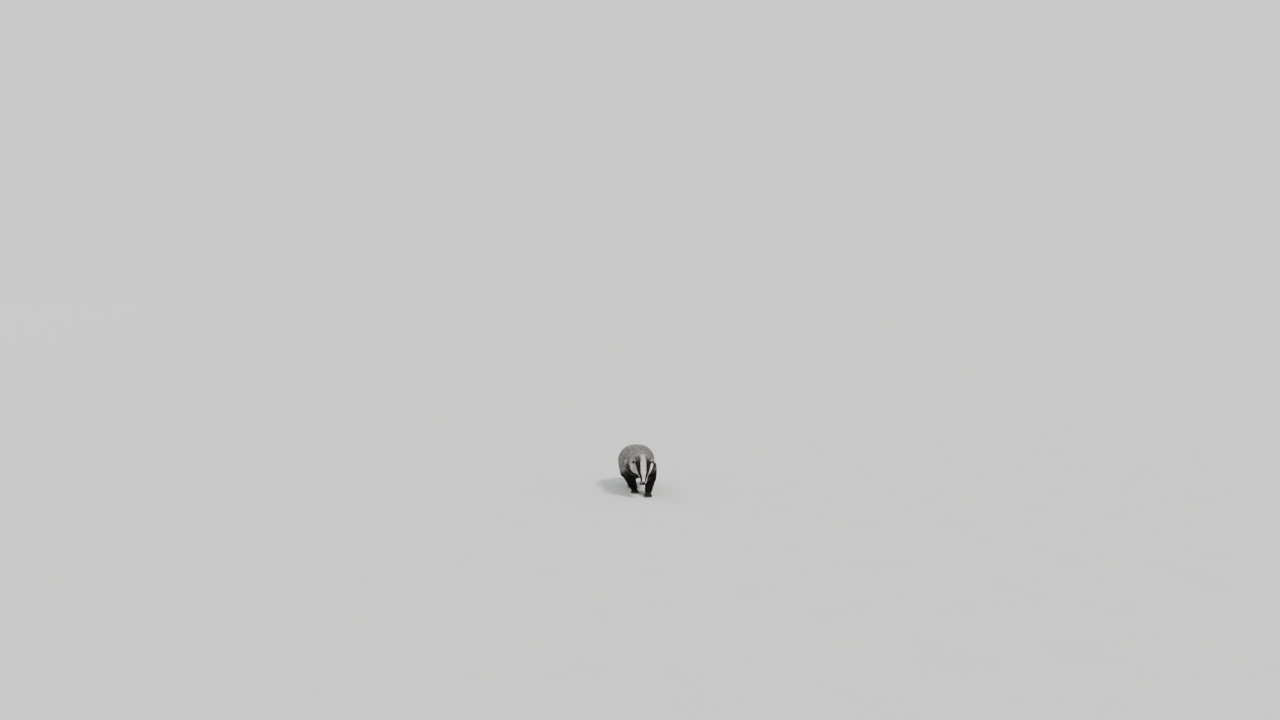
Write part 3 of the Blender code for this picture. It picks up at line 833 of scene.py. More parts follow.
# %% Markings
STRIPE = (
    (0.013, 0.0105, 0.005, 0.0048),
    (0.036, 0.0160, 0.012, 0.0082),
    (0.067, 0.0245, 0.017, 0.0118),
    (0.100, 0.0300, 0.026, 0.0144),
    (0.141, 0.0355, 0.030, 0.0182),
    (0.180, 0.0390, 0.024, 0.0190),
    (0.215, 0.0410, 0.010, 0.0150),
)
STRIPE_SOFT = 0.0016
STRIPE_FADES = (0.205, 0.140)
BLAZE_SIDE = (0.018, 0.012)
BLAZE_FADES = (0.230, 0.175)
BLAZE_UNDER = (-0.02, 0.0)
CHEEK_FADES = (0.168, 0.146)
THROAT_SOFT = (0.002, -0.004)
BELLY_FACING = (-0.35, -0.65)
BLACK_SOFT = 0.016
EAR_WHITE_FROM = 0.60
EAR_WHITE_FULL = 0.80
EAR_WHITE_ABOVE = (-0.002, 0.006)
THROAT_EDGE = ((0.046, -0.040), (0.060, -0.029), (0.090, -0.0375), (0.120, -0.0445), (0.170, -0.0455))
BLACK_HEIGHT = ((-0.30, 0.198), (-0.19, 0.180), (-0.09, 0.138), (0.02, 0.114), (0.14, 0.118), (0.24, 0.140),
                (0.33, 0.150))


def skin_tree():
    return BVHTree.FromPolygons(skin_points.tolist(), skin_faces.tolist())


SKIN_TREE = skin_tree()


def on_skin(place):
    return np.array(SKIN_TREE.find_nearest(Vector(place))[0])


def stripe_line():
    """The stripe's middle on the skin and its half width, cut into short steps."""
    stations = [(*on_skin(from_head(row[:3])), row[3]) for row in STRIPE]
    shares = np.linspace(0, len(stations) - 1, 60)
    columns = np.array(stations).T
    return np.array([np.interp(shares, range(len(stations)), column) for column in columns]).T


STRIPE_LINE = stripe_line()


def mirrored(points):
    """Every point brought to the head's left side."""
    places = to_head(points)
    places[:, 1] = np.abs(places[:, 1])
    return from_head(places)


def stripe_share(points):
    """1 inside either black stripe of the face, 0 outside."""
    points = mirrored(points)
    inside = np.full(len(points), -1.0)
    for x, y, z, half in STRIPE_LINE:
        gap = np.linalg.norm(points - (x, y, z), axis=1)
        inside = np.maximum(inside, half - gap)
    return ease(-STRIPE_SOFT, STRIPE_SOFT, inside)


def head_marks(points):
    """Black and white of the head."""
    back, aside, up = to_head(points).T
    aside = np.abs(aside)
    black = stripe_share(points) * ease(*STRIPE_FADES, back)
    edge = np.interp(back, *np.array(THROAT_EDGE).T)
    throat = ease(*THROAT_SOFT, up - edge)
    centre = ease(*BLAZE_SIDE, aside) * ease(*BLAZE_FADES, back) * ease(*BLAZE_UNDER, up)
    cheek = ease(*CHEEK_FADES, back)
    white = np.maximum(cheek, centre) * (1.0 - throat)
    black = np.maximum(black, throat)
    return black, white * (1.0 - black)


def body_marks(points, normals):
    """Black of belly, chest and legs."""
    line = np.array(BLACK_HEIGHT)
    level = np.interp(points[:, 1], line[:, 0], line[:, 1])
    low = ease(BLACK_SOFT, -BLACK_SOFT, points[:, 2] - level)
    belly = ease(*BELLY_FACING, normals[:, 2])
    return np.maximum(low, belly)


def ear_white(points):
    """1 on the pale rim round the top of the ears, 0 below and inside it."""
    left = to_head(points)[:, 1] > 0
    whites = []
    for side in ("left", "right"):
        places, rim = ear_places(points, side)
        whites.append(ease(EAR_WHITE_FROM, EAR_WHITE_FULL, rim) * ease(*EAR_WHITE_ABOVE, places[:, 1]))
    return np.where(left, *whites)


def marks_at(points, normals, shares):
    """Black, white and buff at any places, given how much each belongs to neck, face, ear and tail."""
    neck, face, ear, tail = shares.T
    black, white = head_marks(points)
    low = body_marks(points, normals) * (1.0 - face) * (1.0 - tail)
    black = np.maximum(black * neck, low)
    white = white * neck * (1.0 - low)
    black = np.where(ear > 0.5, 1.0, black)
    white = np.where(ear > 0.5, 0.0, white)
    rim = np.where(ear > 0.5, ear_white(points), 0.0)
    black = black * (1.0 - rim)
    white = np.maximum(white, rim)
    buff = tail * ease(0.6, 0.0, black)
    return np.stack([black, white, buff], axis=1)


skin_shares = np.stack([
    softly({**HEAD_PARTS, "ear": 1.0, "neck": 1.0}, 10),
    softly({**HEAD_PARTS, "ear": 1.0}, 10),
    softly({"ear": 1.0}, 1),
    softly({"tail": 1.0}, 25),
], axis=1)
skin_marks = marks_at(skin_points, skin_normals, skin_shares)
print("skin is", np.round(skin_marks.mean(axis=0), 2), "black, white and buff")

# %% [markdown]
# The lie of the coat. Hair never stands straight up. It points from nose to tail along the body,
# down the legs, and out over the ears. Each part gets one direction, the directions are spread over
# the neighbours, and each is laid flat on the skin. The result is a combing that turns smoothly.

# %% Lie of the coat
TAIL_WAY = unit(np.array((0.0, 0.52, -0.85)))
FLANK_DROOP = 0.55
COMB_STROKES = 6
COMB_PASSES = 8
EAR_FAN = 0.9
EAR_FREE = (0.0, 0.010)


def lie_of_part(name):
    """The way the hair of one part points."""
    if name.startswith("ear"):
        return ear_axes(name.rsplit("_", 1)[-1])[1]
    if name in ("head", "muzzle", "lower_jaw"):
        return head_direction(1.0, 0.0, 0.0)
    if name == "neck":
        return unit(middle("chest") - middle("head"))
    if name == "tail":
        return TAIL_WAY
    if name.startswith(("shoulder", "thigh")):
        lower = name.replace("shoulder", "forearm").replace("thigh", "shank")
        return unit(middle(lower) - middle(name) + np.array((0.0, 0.09, 0.0)))
    if name.startswith(("forearm", "shank")):
        lower = name.replace("forearm", "forepaw").replace("shank", "hindpaw")
        return unit(middle(lower) - middle(name) + np.array((0.0, 0.02, 0.0)))
    if name.startswith(("forepaw", "hindpaw")):
        return unit(np.array((0.0, -1.0, -0.15)))
    return np.array((0.0, 1.0, 0.0))


def ear_fan():
    """On the ears the hair spreads from the root to the rim, so each point adds its own way out."""
    fan = np.zeros_like(skin_points)
    for side in ("left", "right"):
        places, _ = ear_places(skin_points, side)
        share = per_part({f"ear_{side}": EAR_FAN}) * ease(*EAR_FREE, places[:, 1])
        fan += share[:, None] * unit(places[:, :2]) @ EAR_FRAMES[side][0][:2]
    return fan


def combed():
    table = np.array([lie_of_part(name) for name in FLESH])
    lie = table[skin_part]
    on_trunk = per_part({"barrel": 1.0, "rump": 1.0, "chest": 1.0})
    steep = np.abs(skin_normals[:, 0]) * on_trunk
    lie[:, 2] -= FLANK_DROOP * steep
    lie += ear_fan()
    flat = 1.0 - 0.9 * spread(per_part({"tail": 1.0}), 10)
    for _ in range(COMB_STROKES):
        lie = spread(lie, COMB_PASSES)
        lie = unit(lie - skin_normals * dot(lie, skin_normals)[:, None] * flat)
    return lie


skin_lie = combed()
print("coat combed over", len(skin_lie), "points")

# %% [markdown]
# Making meshes from arrays. Every piece from here on is worked out as an array of points and one of
# faces, and handed to Blender in one go. That is thousands of times faster than adding corners one
# by one, and a plain mesh survives any export, which hair systems don't.

# %% From arrays to pieces


def mesh_piece(name, points, faces, material):
    """A mesh of triangles, riding on the body, with its finish."""
    mesh = bpy.data.meshes.new(name)
    mesh.vertices.add(len(points))
    mesh.vertices.foreach_set("co", np.asarray(points, dtype=np.float32).ravel())
    mesh.loops.add(len(faces) * 3)
    mesh.loops.foreach_set("vertex_index", np.asarray(faces, dtype=np.int32).ravel())
    mesh.polygons.add(len(faces))
    mesh.polygons.foreach_set("loop_start", np.arange(0, len(faces) * 3, 3, dtype=np.int32))
    mesh.update(calc_edges=True)
    mesh.shade_smooth()
    piece = bpy.data.objects.new(name, mesh)
    bpy.context.scene.collection.objects.link(piece)
    if material:
        mesh.materials.append(material)
        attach(piece, "root")
    return piece


def set_colours(piece, name, values):
    """Three values for each point, kept as a colour that a material can read."""
    layer = piece.data.attributes.new(name, "FLOAT_COLOR", "POINT")
    four = np.ones((len(values), 4), dtype=np.float32)
    four[:, :3] = values
    layer.data.foreach_set("color", four.ravel())


def set_values(piece, name, values):
    """One value for each point, kept in the same way."""
    layer = piece.data.attributes.new(name, "FLOAT", "POINT")
    layer.data.foreach_set("value", np.asarray(values, dtype=np.float32))


def set_map(piece, places):
    """The texture places of every face corner."""
    layer = piece.data.uv_layers.new(name="OFBake")
    layer.uv.foreach_set("vector", np.asarray(places, dtype=np.float32).ravel())


def unwrapped(points, faces):
    """Texture places for the corners of a patch of skin, spread out over the whole square."""
    used, renumbered = np.unique(faces, return_inverse=True)
    patch = mesh_piece("patch", points[used], renumbered.reshape(faces.shape), None)
    bpy.context.view_layer.objects.active = patch
    patch.select_set(True)
    bpy.ops.object.mode_set(mode="EDIT")
    bpy.ops.mesh.select_all(action="SELECT")
    bpy.ops.uv.smart_project(angle_limit=math.radians(66), island_margin=0.002)
    bpy.ops.object.mode_set(mode="OBJECT")
    places = np.empty(len(faces) * 6, dtype=np.float32)
    patch.data.uv_layers[0].uv.foreach_get("vector", places)
    bpy.data.objects.remove(patch)
    return places.reshape(-1, 3, 2)


# %% [markdown]
# Finish of the skin. It shows only between the hairs, on the lips, lids and inside the ears, so it is
# the coat's own colours, darker, as if seen in the shade of the fur. Bare places are black leathery
# skin. Two sizes of noise break it up, as a single flat colour would look like paint.

# %% Finish of the skin
GRIZZLED_SHADE = (0.085, 0.078, 0.070, 1.0)
BLACK_SHADE = (0.010, 0.009, 0.009, 1.0)
WHITE_SHADE = (0.70, 0.68, 0.64, 1.0)
BUFF_SHADE = (0.20, 0.17, 0.13, 1.0)
BARE_SHADE = (0.013, 0.011, 0.011, 1.0)
BARE_LIDS = (1.50, 1.25)
BARE_NOSE = (0.0125, 0.0110)


def marks_of(tree):
    """Black, white and buff as three outputs."""
    return add(tree, "ShaderNodeSeparateColor", {0: attribute(tree, "marks", "Color")}).outputs


def skin_finish():
    material, tree, shader = new_material("hide")
    black, white, buff = marks_of(tree)
    bare = attribute(tree, "bare", "Fac")
    colour = mixed(tree, black, GRIZZLED_SHADE, BLACK_SHADE)
    colour = mixed(tree, white, colour, WHITE_SHADE)
    colour = mixed(tree, buff, colour, BUFF_SHADE)
    colour = mixed(tree, 1.0, colour, clouded(tree, 420.0, (0.62,) * 3, (1.0,) * 3), "MULTIPLY")
    grain = sums(tree, "ADD", noise(tree, 900.0), noise(tree, 160.0))
    rough = sums(tree, "SUBTRACT", 0.88, sums(tree, "MULTIPLY", bare, 0.42))
    feed(tree, shader, {
        "Base Color": mixed(tree, bare, colour, BARE_SHADE),
        "Normal": bumped(tree, grain, 0.5, 0.0006),
        "Roughness": uneven(tree, 300.0, rough, 0.08),
        "Specular IOR Level": 0.35,
    })
    return material


def bare_places(points):
    """1 on lips, lids and sockets and under the nose, where no hair grows."""
    bare = mouth_share(points)
    for side in ("left", "right"):
        _, _, out, almonds = eye_places(points, side)
        bare = np.maximum(bare, ease(*BARE_LIDS, almonds) * (out > -0.002))
    nose_gap = np.linalg.norm(points - NOSE_CENTRE, axis=1)
    return np.maximum(bare, ease(*BARE_NOSE, nose_gap))


skin_bare = bare_places(skin_points)
skin_map = unwrapped(skin_points, skin_faces)
skin = mesh_piece("skin", skin_points, skin_faces, skin_finish())
set_colours(skin, "marks", skin_marks)
set_values(skin, "bare", skin_bare)
set_map(skin, skin_map)
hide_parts(*FLESH)
print("skin:", len(skin_faces), "triangles")

# %% [markdown]
# Finish of the fur. A badger's guard hair is banded: pale at the root, black below the tip, and pale
# again at the tip. Thousands of such hairs over each other make the grizzled grey, so the bands are
# painted along each lock and not as grey. At the very root each lock is painted darker than the pale
# band above it: that is painted shade, where the coat shades its own roots. Every lock knows how far
# along it a point lies and carries a chance number, which shifts its bands and makes it lighter or
# darker than its neighbours.

# %% Finish of the fur
# The first stop of the grizzled, white and buff runs, at the root, is darker than the stop above it. That
# is painted shade of the coat over its own roots, and the white is also creamier there.
GRIZZLE_BANDS = (
    (0.00, (0.30, 0.27, 0.23)), (0.34, (0.46, 0.43, 0.38)), (0.50, (0.10, 0.09, 0.085)),
    (0.62, (0.028, 0.025, 0.024)), (0.74, (0.06, 0.055, 0.052)), (0.83, (0.60, 0.58, 0.555)),
    (1.00, (0.78, 0.77, 0.75)),
)
BLACK_BANDS = (
    (0.0, (0.006, 0.0055, 0.0055)), (0.7, (0.008, 0.007, 0.007)), (1.0, (0.017, 0.0145, 0.0135)),
)
WHITE_BANDS = ((0.0, (0.62, 0.59, 0.54)), (0.5, (0.78, 0.765, 0.73)), (1.0, (0.86, 0.855, 0.835)))
BUFF_BANDS = ((0.0, (0.25, 0.21, 0.16)), (0.55, (0.52, 0.47, 0.38)), (1.0, (0.74, 0.71, 0.65)))
BAND_SHIFT = 0.34
DARKEST_LOCK = 0.70


def fur_finish(name, roughness):
    material, tree, shader = new_material(name)
    strand = attribute(tree, "strand", "Color")
    along, chance, _ = add(tree, "ShaderNodeSeparateColor", {0: strand}).outputs
    shift = sums(tree, "MULTIPLY", sums(tree, "SUBTRACT", chance, 0.5), BAND_SHIFT)
    banded = sums(tree, "ADD", along, shift)
    black, white, buff = marks_of(tree)
    colour = ramp(tree, banded, GRIZZLE_BANDS)
    colour = mixed(tree, black, colour, ramp(tree, along, BLACK_BANDS))
    colour = mixed(tree, white, colour, ramp(tree, along, WHITE_BANDS))
    colour = mixed(tree, buff, colour, ramp(tree, banded, BUFF_BANDS))
    other_chance = sums(tree, "FRACT", sums(tree, "MULTIPLY", chance, 7.0), 0.0)
    vary = ramp(tree, other_chance, ((0.0, (DARKEST_LOCK,) * 3), (1.0, (1.0,) * 3)))
    feed(tree, shader, {
        "Base Color": mixed(tree, 1.0, colour, vary, "MULTIPLY"),
        "Normal": bumped(tree, noise(tree, 1400.0, 2.0), 0.35, 0.0003),
        "Roughness": sums(tree, "ADD", sums(tree, "MULTIPLY", chance, 0.16), roughness),
        "Specular IOR Level": 0.24,
    })
    return material


BODY_FUR = fur_finish("banded_guard_hair", 0.52)
SHORT_FUR = fur_finish("short_face_hair", 0.54)
print("two finishes of fur")

# %% [markdown]
# One lock of hair is a thin three sided blade: a ring of three corners at the root, up to two more
# along it, and a tip. It is a closed solid, so it has thickness from any side. Short hair on face,
# legs and feet is straight and needs only the root ring, so there a denser coat costs the same.

# %% One lock of hair
CAP_MAP = ((0.0, 0.0), (0.5, 0.0), (0.25, 0.3))
RING_ACROSS = (0.0, 0.5, 1.0)
LOCK_SHAPES = {1: ((0.0, 1.0),), 2: ((0.0, 0.62), (0.5, 1.0)), 3: ((0.0, 0.60), (0.33, 1.0), (0.68, 0.72))}
LOCK_THICKNESS = 0.42
MAP_PATCH = 0.003


def lock_pattern(rings):
    """Faces of one lock and the texture places of their corners, in parts of its patch."""
    shares = [share for share, _ in LOCK_SHAPES[rings]] + [1.0]
    faces = [(0, 1, 2)]
    places = [CAP_MAP]
    for ring in range(rings):
        low, high = 3 * ring, 3 * (ring + 1)
        v, w = shares[ring], shares[ring + 1]
        for i, j in ((0, 1), (1, 2), (2, 0)):
            u, t = RING_ACROSS[i], RING_ACROSS[j]
            if ring == rings - 1:
                faces.append((low + j, low + i, high))
                places.append(((t, v), (u, v), ((u + t) / 2, w)))
                continue
            faces += [(low + j, low + i, high + i), (low + j, high + i, high + j)]
            places += [((t, v), (u, v), (u, w)), ((t, v), (u, w), (t, w))]
    return np.array(faces), np.array(places)


def lock_points(paths, normals, widths, rings):
    """Corners of every lock along its path: two edges and a ridge on each ring, then the tip."""
    corners = []
    for ring, (_, width) in enumerate(LOCK_SHAPES[rings]):
        tangent = unit(paths[:, ring + 1] - paths[:, max(ring - 1, 0)])
        across = unit(np.cross(normals, tangent))
        ridge = np.cross(tangent, across)
        half = (widths * width / 2)[:, None]
        centre = paths[:, ring]
        back = centre + ridge * half * 2 * LOCK_THICKNESS
        corners += [centre + across * half, centre - across * half, back]
    corners.append(paths[:, rings])
    return np.stack(corners, axis=1)


for rings in LOCK_SHAPES:
    print("a lock of", rings, "rings has", len(lock_pattern(rings)[0]), "triangles")

# %% [markdown]
# Growing the coat. Roots are dropped on the skin so that every patch gets its fair share, and where
# two pieces of the coat meet they share the ground, so no border shows. From each root the hair
# walks over the skin along the combing, step by step, and rises until its tip reaches the outline of
# the solids. Hairs near each other then lean toward one leader, which gives the coat its tufts.
# Blender's particle hair could do this, but it is lost when the model leaves Blender.

# %% Grow the coat
HAIR_LENGTH = {
    "barrel": 0.052, "rump": 0.056, "chest": 0.044, "neck": 0.036, "shoulder": 0.030, "thigh": 0.038,
    "forearm": 0.016, "shank": 0.016, "forepaw": 0.0058, "hindpaw": 0.0058, "head": 0.0135,
    "muzzle": 0.0050, "lower_jaw": 0.0060, "ear": 0.0062, "tail": 0.062,
}
HAIR_WIDTH = {
    "barrel": 0.0013, "rump": 0.0013, "chest": 0.0013, "neck": 0.0009, "shoulder": 0.0012, "thigh": 0.0012,
    "forearm": 0.0009, "shank": 0.0009, "forepaw": 0.0006, "hindpaw": 0.0006, "head": 0.00075,
    "muzzle": 0.00055, "lower_jaw": 0.00055, "ear": 0.0006, "tail": 0.0014,
}
WIDTH_PASSES = 160
SHORTEST_TAIL_HAIR = 0.017
TAIL_TAPER = 0.055
NAPE = (0.125, 0.240)
UNDER_THROAT = (-0.060, -0.085)
FOREHEAD_HAIR = (0.150, 0.080)
SHORTER_FOREHEAD = 0.45
SHORT_AT_EYES = (0.006, 0.020)
SHORT_AT_EARS = (0.038, 0.022)
SHORTER_AT_EARS = 0.60
SHORTER_BELLY = 0.35
HAIR_FOLLOW = {"ear": 0.15, "tail": 0.35, "forearm": 0.6, "shank": 0.6, "head": 0.75, "forepaw": 0.6}
FOLLOW_USUALLY = 0.9
RISE_POWER = 1.8
ROOT_DEPTH = 0.0006
ROOT_CROWDING = 0.7
BORDER_PASSES = 16
SMALLEST_SHARE = 0.02
SHORTEST_RISE = 0.0010
LOWEST_HAIR = 0.0012
LEADER_EVERY = 9
LEAN = {1: 0.18, 2: 0.32, 3: 0.40}
STRAY = math.radians(7)
TUFT_STRAY = math.radians(10)
LARGEST_STRAY = math.radians(20)
LEAN_POWER = 1.5
LEAST_RISE = 0.3
MOST_RISE = 1.3
LENGTH_RANGE = (0.68, 1.12)
RISE_RANGE = (0.78, 1.05)
WIDTH_RANGE = (0.8, 1.25)
face_areas = np.linalg.norm(out_of_faces(skin_points, skin_faces), axis=1) / 2


def to_tail_end():
    """Distance of each point to the end of the tail, along the tail."""
    return (node_points("tail") @ TAIL_WAY).max() - skin_points @ TAIL_WAY


def hair_lengths():
    """Wanted length at each point of the skin, short round the eyes and growing over the nape."""
    length = softly(HAIR_LENGTH, 24)
    back, _, up = to_head(skin_points).T
    grown = ease(*NAPE, back) * (HAIR_LENGTH["chest"] - HAIR_LENGTH["head"])
    grown += HAIR_LENGTH["head"] + ease(*UNDER_THROAT, up) * HAIR_LENGTH["chest"]
    length = np.minimum(length, grown)
    on_head = softly({"head": 1.0}, 10)
    length *= 1.0 - SHORTER_FOREHEAD * on_head * ease(*FOREHEAD_HAIR, back)
    length *= 0.35 + 0.65 * ease(*SHORT_AT_EYES, eye_gap(skin_points))
    near_ear = ease(*SHORT_AT_EARS, gap_to(skin_points, EAR_MIDDLES)) * (1.0 - per_part({"ear": 1.0}))
    length *= 1.0 - SHORTER_AT_EARS * near_ear
    length *= 1.0 - SHORTER_BELLY * facing_down(skin_normals) * (1.0 - on_head)
    tail_length = np.minimum(length, np.maximum(to_tail_end(), SHORTEST_TAIL_HAIR))
    return length + (tail_length - length) * softly({"tail": 1.0}, 4)


def hair_rises():
    """How far the tips stand off the skin: as far as the solids' outline is."""
    gap = dot(outer_points - skin_points, skin_normals)
    wanted = softly(COAT_DEPTH, 24)
    gap = spread(np.clip(gap, LEAST_RISE * wanted, MOST_RISE * wanted), 6)[:, 0]
    taper = 0.30 + 0.70 * ease(0.0, TAIL_TAPER, to_tail_end())
    gap = np.where(per_part({"tail": 1.0}) > 0, gap * taper, gap)
    return np.maximum(gap, SHORTEST_RISE)


skin_data = np.column_stack([
    hair_lengths(),
    hair_rises(),
    softly(HAIR_FOLLOW, 12, FOLLOW_USUALLY),
    softly(HAIR_WIDTH, WIDTH_PASSES),
])


def at_roots(values, faces, weights):
    """Values of the skin's points carried over to places inside its faces."""
    return np.einsum("nk,nkc->nc", weights, values[skin_faces[faces]])


def scattered(faces, belonging, count, rng):
    """Faces and corner weights of the roots, closer together where the hair is short and fine."""
    data = skin_data[skin_faces[faces]].mean(axis=1)
    cover = (data[:, 0] * data[:, 3]) ** ROOT_CROWDING
    share = belonging * face_areas[faces] / cover * (1.0 - skin_bare[skin_faces[faces]].max(axis=1))
    run = np.cumsum(share)
    places = (np.arange(count) + rng.random(count)) / count * run[-1]
    chosen = faces[np.minimum(np.searchsorted(run, places), len(faces) - 1)]
    first, second = rng.random((2, count))
    over = first + second > 1.0
    first[over], second[over] = 1.0 - first[over], 1.0 - second[over]
    return chosen, np.stack([1.0 - first - second, first, second], axis=1)


def turned(directions, axes, angles):
    """Directions turned about axes."""
    cosine, sine = np.cos(angles)[:, None], np.sin(angles)[:, None]
    along = axes * dot(directions, axes)[:, None]
    return directions * cosine + np.cross(axes, directions) * sine + along * (1.0 - cosine)


def picked(marks, chance):
    """Where colours meet, each lock takes only one of them, as each hair does."""
    above = np.cumsum(marks, axis=1)
    below = above - marks
    return ((chance[:, None] >= below) & (chance[:, None] < above)).astype(float)


def leaders(roots, rng):
    """For each root the number of its tuft's leader."""
    chosen = np.sort(rng.choice(len(roots), max(len(roots) // LEADER_EVERY, 1), replace=False))
    tree = KDTree(len(chosen))
    for number in chosen:
        tree.insert(roots[number], int(number))
    tree.balance()
    return np.array([tree.find(root)[1] for root in roots.tolist()])


def walked(roots, normals, lies, data, shares):
    """Paths of all hairs: they walk over the skin, rise, and keep a part of their own straight way."""
    lengths, rises, follow, _ = data.T
    steps = np.diff((0.0, *shares))
    surface, normal, lie = roots, normals, lies
    paths = [roots - normals * ROOT_DEPTH]
    for step, share in zip(steps, shares):
        ahead = surface + lie * (step * lengths)[:, None]
        found = [SKIN_TREE.find_nearest(place) for place in ahead.tolist()]
        surface = np.array([hit[0] for hit in found])
        faces = np.array([hit[2] for hit in found])
        normal = unit(normal + skin_normals[skin_faces[faces]].mean(axis=1))
        lie = lie + skin_lie[skin_faces[faces]].mean(axis=1)
        lie = unit(lie - normal * dot(lie, normal)[:, None])
        straight = roots + lies * (share * lengths)[:, None]
        base = surface * follow[:, None] + straight * (1.0 - follow)[:, None]
        paths.append(base + normal * (rises * (1.0 - (1.0 - share) ** RISE_POWER))[:, None])
    return np.stack(paths, axis=1)


def grown_coat(patch, count, thicker, rings, seed):
    """Corners, marks, lock values and roots of one piece of the coat."""
    rng = np.random.default_rng(seed)
    chosen, weights = scattered(*patch, count, rng)
    roots = at_roots(skin_points, chosen, weights)
    normals = unit(at_roots(skin_normals, chosen, weights))
    lies = unit(at_roots(skin_lie, chosen, weights))
    leader = leaders(roots, rng)
    stray = rng.normal(0.0, STRAY, count) + rng.normal(0.0, TUFT_STRAY, count)[leader]
    lies = turned(lies, normals, np.clip(stray, -LARGEST_STRAY, LARGEST_STRAY))
    data = at_roots(skin_data, chosen, weights)
    data[:, 0] *= rng.uniform(*LENGTH_RANGE, count)
    data[:, 1] *= rng.uniform(*RISE_RANGE, count)
    widths = data[:, 3] * thicker * rng.uniform(*WIDTH_RANGE, count)
    shares = [share for share, _ in LOCK_SHAPES[rings]][1:] + [1.0]
    paths = walked(roots, normals, lies, data, shares)
    pull = (LEAN[rings] * np.array([0.0, *shares]) ** LEAN_POWER)[None, :, None]
    paths = paths + (paths[leader] - paths) * pull
    paths[:, :, 2] = np.maximum(paths[:, :, 2], LOWEST_HAIR)
    corners = lock_points(paths, normals, widths, rings)
    corners[:, :, 2] = np.maximum(corners[:, :, 2], LOWEST_HAIR / 4)
    marks = picked(marks_at(roots, normals, at_roots(skin_shares, chosen, weights)), rng.random(count))
    return corners, marks, rng.random(count), chosen, weights


def coat_piece(name, patch, count, rings, material, seed):
    """One piece of the coat as a joined mesh of locks, with its marks and its map."""
    thicker = 1.0
    corners, marks, chance, chosen, weights = grown_coat(patch, count, thicker, rings, seed)
    pattern, places = lock_pattern(rings)
    per_lock = 3 * rings + 1
    faces = pattern[None] + np.arange(count)[:, None, None] * per_lock
    piece = mesh_piece(name, corners.reshape(-1, 3), faces.reshape(-1, 3), material)
    set_colours(piece, "marks", np.repeat(marks, per_lock, axis=0))
    along = np.repeat([*(share for share, _ in LOCK_SHAPES[rings]), 1.0], [3] * rings + [1])
    along, chance = np.tile(along, count), np.repeat(chance, per_lock)
    set_colours(piece, "strand", np.stack([along, chance, np.zeros(len(along))], axis=1))
    patch_map = unwrapped(skin_points, skin_faces[patch[0]])
    row = np.searchsorted(patch[0], chosen)
    root_places = np.einsum("nk,nkc->nc", weights, patch_map[row])
    root_places = np.clip(root_places, MAP_PATCH, 1.0 - MAP_PATCH)
    set_map(piece, root_places[:, None, None, :] + (places[None] - 0.5) * MAP_PATCH)
    print(name, "has", count, "locks and", len(pattern) * count, "triangles")
    return piece


COAT = (
    ("muzzle_fur", ("muzzle", "lower_jaw"), 0, 18000, 1, "white_fur"),
    ("face_fur_left", ("head",), 1, 30000, 1, "white_fur"),
    ("face_fur_right", ("head",), -1, 30000, 1, "white_fur"),
    ("ear_fur", ("ear",), 0, 12000, 1, "black_fur"),
    ("neck_fur", ("neck",), 0, 16000, 2, "grizzled_fur"),
    ("chest_fur", ("chest",), 0, 11500, 2, "grizzled_fur"),
    ("shoulder_fur", ("shoulder",), 0, 10000, 2, "grizzled_fur"),
    ("flank_fur_left", ("barrel",), 1, 12000, 2, "grizzled_fur"),
    ("flank_fur_right", ("barrel",), -1, 12000, 2, "grizzled_fur"),
    ("rump_fur_left", ("rump",), 1, 9500, 2, "grizzled_fur"),
    ("rump_fur_right", ("rump",), -1, 9500, 2, "grizzled_fur"),
    ("thigh_fur", ("thigh",), 0, 10000, 2, "grizzled_fur"),
    ("leg_fur", ("forearm", "shank"), 0, 24000, 1, "black_fur"),
    ("paw_fur", ("forepaw", "hindpaw"), 0, 14000, 1, "black_fur"),
    ("tail_fur", ("tail",), 0, 5000, 3, "pale_fur"),
)
SHORT_COATS = ("muzzle_fur", "face_fur_left", "face_fur_right", "ear_fur", "paw_fur")


def patch_of(parts, side):
    """Faces of the skin that belong to some parts, and how much, as parts run into each other.

    Where side is 1 or -1, only the faces on that side of the body are taken.
    """
    belonging = softly(dict.fromkeys(parts, 1.0), BORDER_PASSES)[skin_faces].mean(axis=1)
    chosen = belonging > SMALLEST_SHARE
    if side:
        chosen &= skin_points[skin_faces][:, :, 0].mean(axis=1) * side > 0
    faces = np.flatnonzero(chosen)
    return faces, belonging[faces]


coat = []
for seed, (name, parts, side, count, rings, slot) in enumerate(COAT):
    finish = SHORT_FUR if name in SHORT_COATS else BODY_FUR
    coat.append(coat_piece(name, patch_of(parts, side), count, rings, finish, seed))
print("triangles in the coat:", sum(len(piece.data.polygons) for piece in coat))

# %% [markdown]
# The eyes. A badger's eye is small, dark and wet. The ball is a fine sphere with a slight swelling
# for the cornea. Its colour turns from black pupil to deep brown by how far a point lies from the
# direction of the look, and a clear coat gives the small bright glint that makes an animal alive.

# %% Eyes
BALL_SEGMENTS = 48
BALL_RINGS = 32
BALL_SHARE = 0.99
CORNEA_SWELLING = 0.0004
EYE_RINGS = (
    (0.0, (0.010, 0.006, 0.004)), (0.70, (0.006, 0.003, 0.002)), (0.80, (0.014, 0.0065, 0.003)),
    (0.915, (0.006, 0.003, 0.002)), (0.93, (0.001, 0.001, 0.001)),
)


def ringed_faces(rings, sides):
    """Faces between rings of corners, closed by two more corners at the start and the end."""
    start, end = rings * sides, rings * sides + 1
    last = start - sides
    faces = []
    for k in range(sides):
        after = (k + 1) % sides
        faces += [(start, after, k), (end, last + k, last + after)]
        for low in range(0, last, sides):
            high = low + sides
            faces += [(low + k, low + after, high + after), (low + k, high + after, high + k)]
    return np.array(faces)


